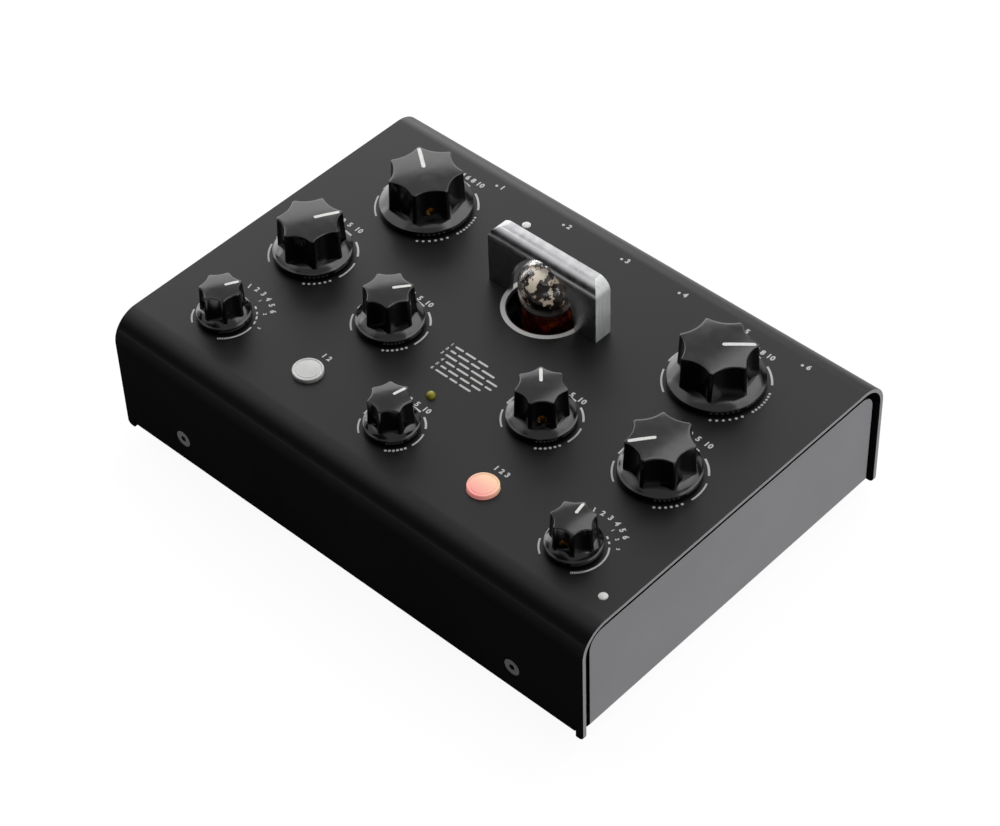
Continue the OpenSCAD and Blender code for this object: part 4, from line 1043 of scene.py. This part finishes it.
class PEDAL_OT_prints(bpy.types.Operator):
    """Prints the scales, numbers, key and rear marks on the panel as thin raised ink"""

    bl_idname = "pedal.prints"
    bl_label = "Prints"

    def execute(self, context):
        for name, (size, turn) in KNOBS.items():
            node = "knob_" + name
            radius = half_width(node) + SCALE_GAP
            if name in MODE_SCALES:
                flat = model_mode_scale(radius, *MODE_SCALES[name])
            else:
                flat = model_scale(radius, size == "large")
            settle_print(place_over(print_flat(flat), node), name + "_scale")

        numerals = [add_numerals(text, height, x, y) for text, x, y, height in NUMERALS]
        for name, radius, first, step, text, height in MODE_NUMERALS:
            centre = middle("knob_" + name) / MM
            for count, numeral in enumerate(text.split()):
                angle = first + step * count
                x, y = polar(radius, math.radians(angle))
                numerals.append(add_numerals(numeral, height, centre.x + x, centre.y + y,
                                             angle - 90))
        settle_print(join(numerals), "panel_numerals")

        marks = [add_numerals(str(count + 1), REAR_MARK_H, x + REAR_NUMBER_X, REAR_MARK_Y)
                 for count, x in enumerate(REAR_MARKS)]
        dots = [add_dot(REAR_DOT_R * MM, ((x + REAR_DOT_X) * MM, (REAR_MARK_Y + REAR_DOT_Y) * MM))
                for x in REAR_MARKS]
        settle_print(join([print_flat(join(dots)), *marks]), "rear_marks")

        bars, numbers = [], []
        for count, (y, spans) in enumerate(KEY_ROWS):
            bars += [add_bar(start * MM, end * MM, y * MM, KEY_BAR_H * MM) for start, end in spans]
            numbers.append(add_numerals(str(count + 1), KEY_NUMBER_H,
                                        spans[0][0] + KEY_NUMBER_X, y))
        settle_print(join([print_flat(join(bars)), *numbers]), "panel_key")

        ring = print_flat(add_arc(VALVE_RING_R, VALVE_RING_W, 0, 360))
        settle_print(place_over(ring, "valve_socket"), "valve_ring")
        return {"FINISHED"}


class PEDAL_OT_buttons(bpy.types.Operator):
    """Models the white and the lit button"""

    bl_idname = "pedal.buttons"
    bl_label = "Buttons"

    def execute(self, context):
        for node in ("white_button", "lit_button"):
            stand_for(model_button(node), node + "_cap", node)
        return {"FINISHED"}


class PEDAL_OT_guard(bpy.types.Operator):
    """Models the steel guard over the valve"""

    bl_idname = "pedal.guard"
    bl_label = "Valve guard"

    def execute(self, context):
        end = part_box("valve_guard")[1].x - GUARD_END_BEND
        # The end walls take the paler steel, whose colour is painted light
        brushed = ("brushed_steel_painted_light", lambda centre, normal: abs(normal.x) > 0.06
                   and abs(centre.x) > end and normal.y > -0.8)
        stand_for(model_guard(), "valve_guard_bridge", "valve_guard", (brushed,))
        return {"FINISHED"}


class PEDAL_OT_valve(bpy.types.Operator):
    """Adds the silvery film in the valve's dome, and the smoke ring and the brown stain with
    painted orange glints below it
    """

    bl_idname = "pedal.valve"
    bl_label = "Valve"

    def execute(self, context):
        axis = middle("valve_glass").xy
        inside = ("smoke_ring", lambda centre, normal: normal.xy.dot(centre.xy - axis) < 0)
        for piece, name, material, others in (
                (model_getter_film(), "getter_flash", "getter_film", (inside,)),
                (model_inner_band(*SMOKE_RING), "smoke_ring", "smoke_ring", ()),
                (model_inner_band(*BROWN_STAIN_AND_GLINTS), "brown_stain_and_painted_glints", "browned_glass_painted_glints", ())):
            settle(piece, name, "valve_glass", "valve_metal", material, others)
        return {"FINISHED"}


# Stage

def seen(tree):
    """1 for camera, glossy and transmission rays, which see the backdrop, and 0 for its light."""
    rays = add_node(tree, "LightPath").outputs
    glossy = add_node(tree, "Math", {
        0: rays["Is Camera Ray"], 1: rays["Is Glossy Ray"]}, operation="MAXIMUM")
    return add_node(tree, "Math", {
        0: glossy.outputs[0], 1: rays["Is Transmission Ray"]}, operation="MAXIMUM").outputs[0]


def matt(name, tint, **shader):
    """A matt surface of the stage."""
    return new_material(name, Base_Color=tint, Roughness=0.9, Specular_IOR_Level=0.0, **shader)


def pale_backdrop():
    """Matt studio paper that shows white, but throws back only as much light as grey paper."""
    made, tree, shader = matt("pale_backdrop", "#5c5c5c", Emission_Color="#ffffff")
    strength = add_node(tree, "Math", {0: seen(tree), 1: BACKDROP_GLOW},
                        operation="MULTIPLY")
    feed(shader, Emission_Strength=strength.outputs[0])
    return made


def add_wall(name, radius, height, sunk=0.0):
    """A round wall about the origin, open above and below, its foot at the floor or sunk in it."""
    clear_selection()
    bpy.ops.mesh.primitive_cylinder_add(vertices=96, radius=radius, depth=height,
                                        end_fill_type="NOTHING", location=(0, 0, height / 2 - sunk))
    bpy.context.object.name = name
    return bpy.context.object


def add_floor():
    """Plain pale floor under the feet, and a round wall far behind it."""
    finish = pale_backdrop()
    clear_selection()
    bpy.ops.mesh.primitive_plane_add(size=FLOOR_SIZE, location=(0, 0, -0.1 * MM))
    floor = bpy.context.object
    floor.name = "floor"
    wall = add_wall("backdrop", FLOOR_SIZE * 0.49, WALL_HEIGHT, sunk=0.01)
    for piece in (floor, wall):
        piece.data.materials.append(finish)


def add_flag():
    """A black card in front at the left, which keeps the pale backdrop out of the gloss there."""
    flag = add_wall("flag", FLAG_R, FLAG_HEIGHT)
    bisect(flag, [((0, 0, 0), normal) for normal in FLAG_CUTS], clear_outer=True)
    flag.data.materials.append(matt("black_flag", "#060606")[0])
    flag.visible_camera = flag.visible_diffuse = flag.visible_shadow = False


def add_softbox(name, azimuth, elevation, distance, width, height, radiance):
    """A rectangular area light that faces the object from a direction in degrees."""
    lamp = bpy.data.lights.new(name, "AREA")
    lamp.shape = "RECTANGLE"
    lamp.size, lamp.size_y = width, height
    lamp.energy = radiance * math.pi * width * height
    light = add_object(name, lamp)
    across, up = polar(1, math.radians(elevation))
    light.location = Vector((*polar(across, math.radians(azimuth)), up)) * distance
    light.rotation_euler = (-light.location).to_track_quat("-Z", "Y").to_euler()
    light.visible_camera = False


def add_lights():
    """Strong low softboxes at the left and the right, the others above, and a faint surround."""
    for name, numbers in SOFTBOXES.items():
        add_softbox(name, *numbers)
    world = bpy.data.worlds.new("surround")
    bpy.context.scene.world = world
    world.use_nodes = True
    tree = world.node_tree
    tree.nodes.clear()
    grey = add_node(tree, "Background", {"Color": "#ffffff", "Strength": SURROUND})
    add_node(tree, "OutputWorld", {"Surface": grey.outputs["Background"]})


def add_camera():
    """Camera at the photograph's place, turned about its own axis by the photograph's roll."""
    data = bpy.data.cameras.new("camera")
    data.sensor_width = 36.0
    data.lens = CAMERA_LENS
    data.clip_start = 0.05
    camera = add_object("camera", data)
    forward = CAMERA_FORWARD.normalized()
    level = Vector((*polar(1, math.radians(CAMERA_AZIMUTH)), 0))
    across, up = polar(1, math.radians(CAMERA_ROLL))
    right = across * level + up * level.cross(forward)
    turn = Matrix((right, right.cross(forward), -forward)).transposed()
    camera.matrix_world = Matrix.Translation(CAMERA_PLACE) @ turn.to_4x4()
    bpy.context.scene.camera = camera
    bpy.context.scene.view_settings.view_transform = "Standard"


class PEDAL_OT_stage(bpy.types.Operator):
    """Adds the floor, the studio lights and the camera"""

    bl_idname = "pedal.stage"
    bl_label = "Stage, lights and camera"

    def execute(self, context):
        add_floor()
        add_flag()
        add_lights()
        add_camera()
        return {"FINISHED"}


class PEDAL_PT_panel(bpy.types.Panel):
    """Sidebar panel with the pedal's colours, sizes and steps"""

    bl_idname = "PEDAL_PT_panel"
    bl_label = "Delay Pedal"
    bl_space_type = "VIEW_3D"
    bl_region_type = "UI"
    bl_category = "Delay Pedal"

    def draw(self, context):
        for group in (context.scene.pedal_colours, context.scene.pedal_sizes):
            for name in group.__annotations__:
                self.layout.prop(group, name)
        for step in STEPS:
            self.layout.operator(step.bl_idname)


STEPS = (PEDAL_OT_frame_finish, PEDAL_OT_sheets_and_sockets, PEDAL_OT_knobs, PEDAL_OT_buttons,
         PEDAL_OT_guard, PEDAL_OT_valve, PEDAL_OT_prints, PEDAL_OT_stage)
CLASSES = (PedalColours, PedalSizes, *STEPS, PEDAL_PT_panel)


def register():
    for made in CLASSES:
        bpy.utils.register_class(made)
    bpy.types.Scene.pedal_colours = bpy.props.PointerProperty(type=PedalColours)
    bpy.types.Scene.pedal_sizes = bpy.props.PointerProperty(type=PedalSizes)


def unregister():
    del bpy.types.Scene.pedal_sizes
    del bpy.types.Scene.pedal_colours
    for made in reversed(CLASSES):
        bpy.utils.unregister_class(made)


def main():
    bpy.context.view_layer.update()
    register()
    for step in STEPS:
        group, name = step.bl_idname.split(".")
        getattr(getattr(bpy.ops, group), name)()
    clear_selection()


if __name__ == "__main__":
    main()
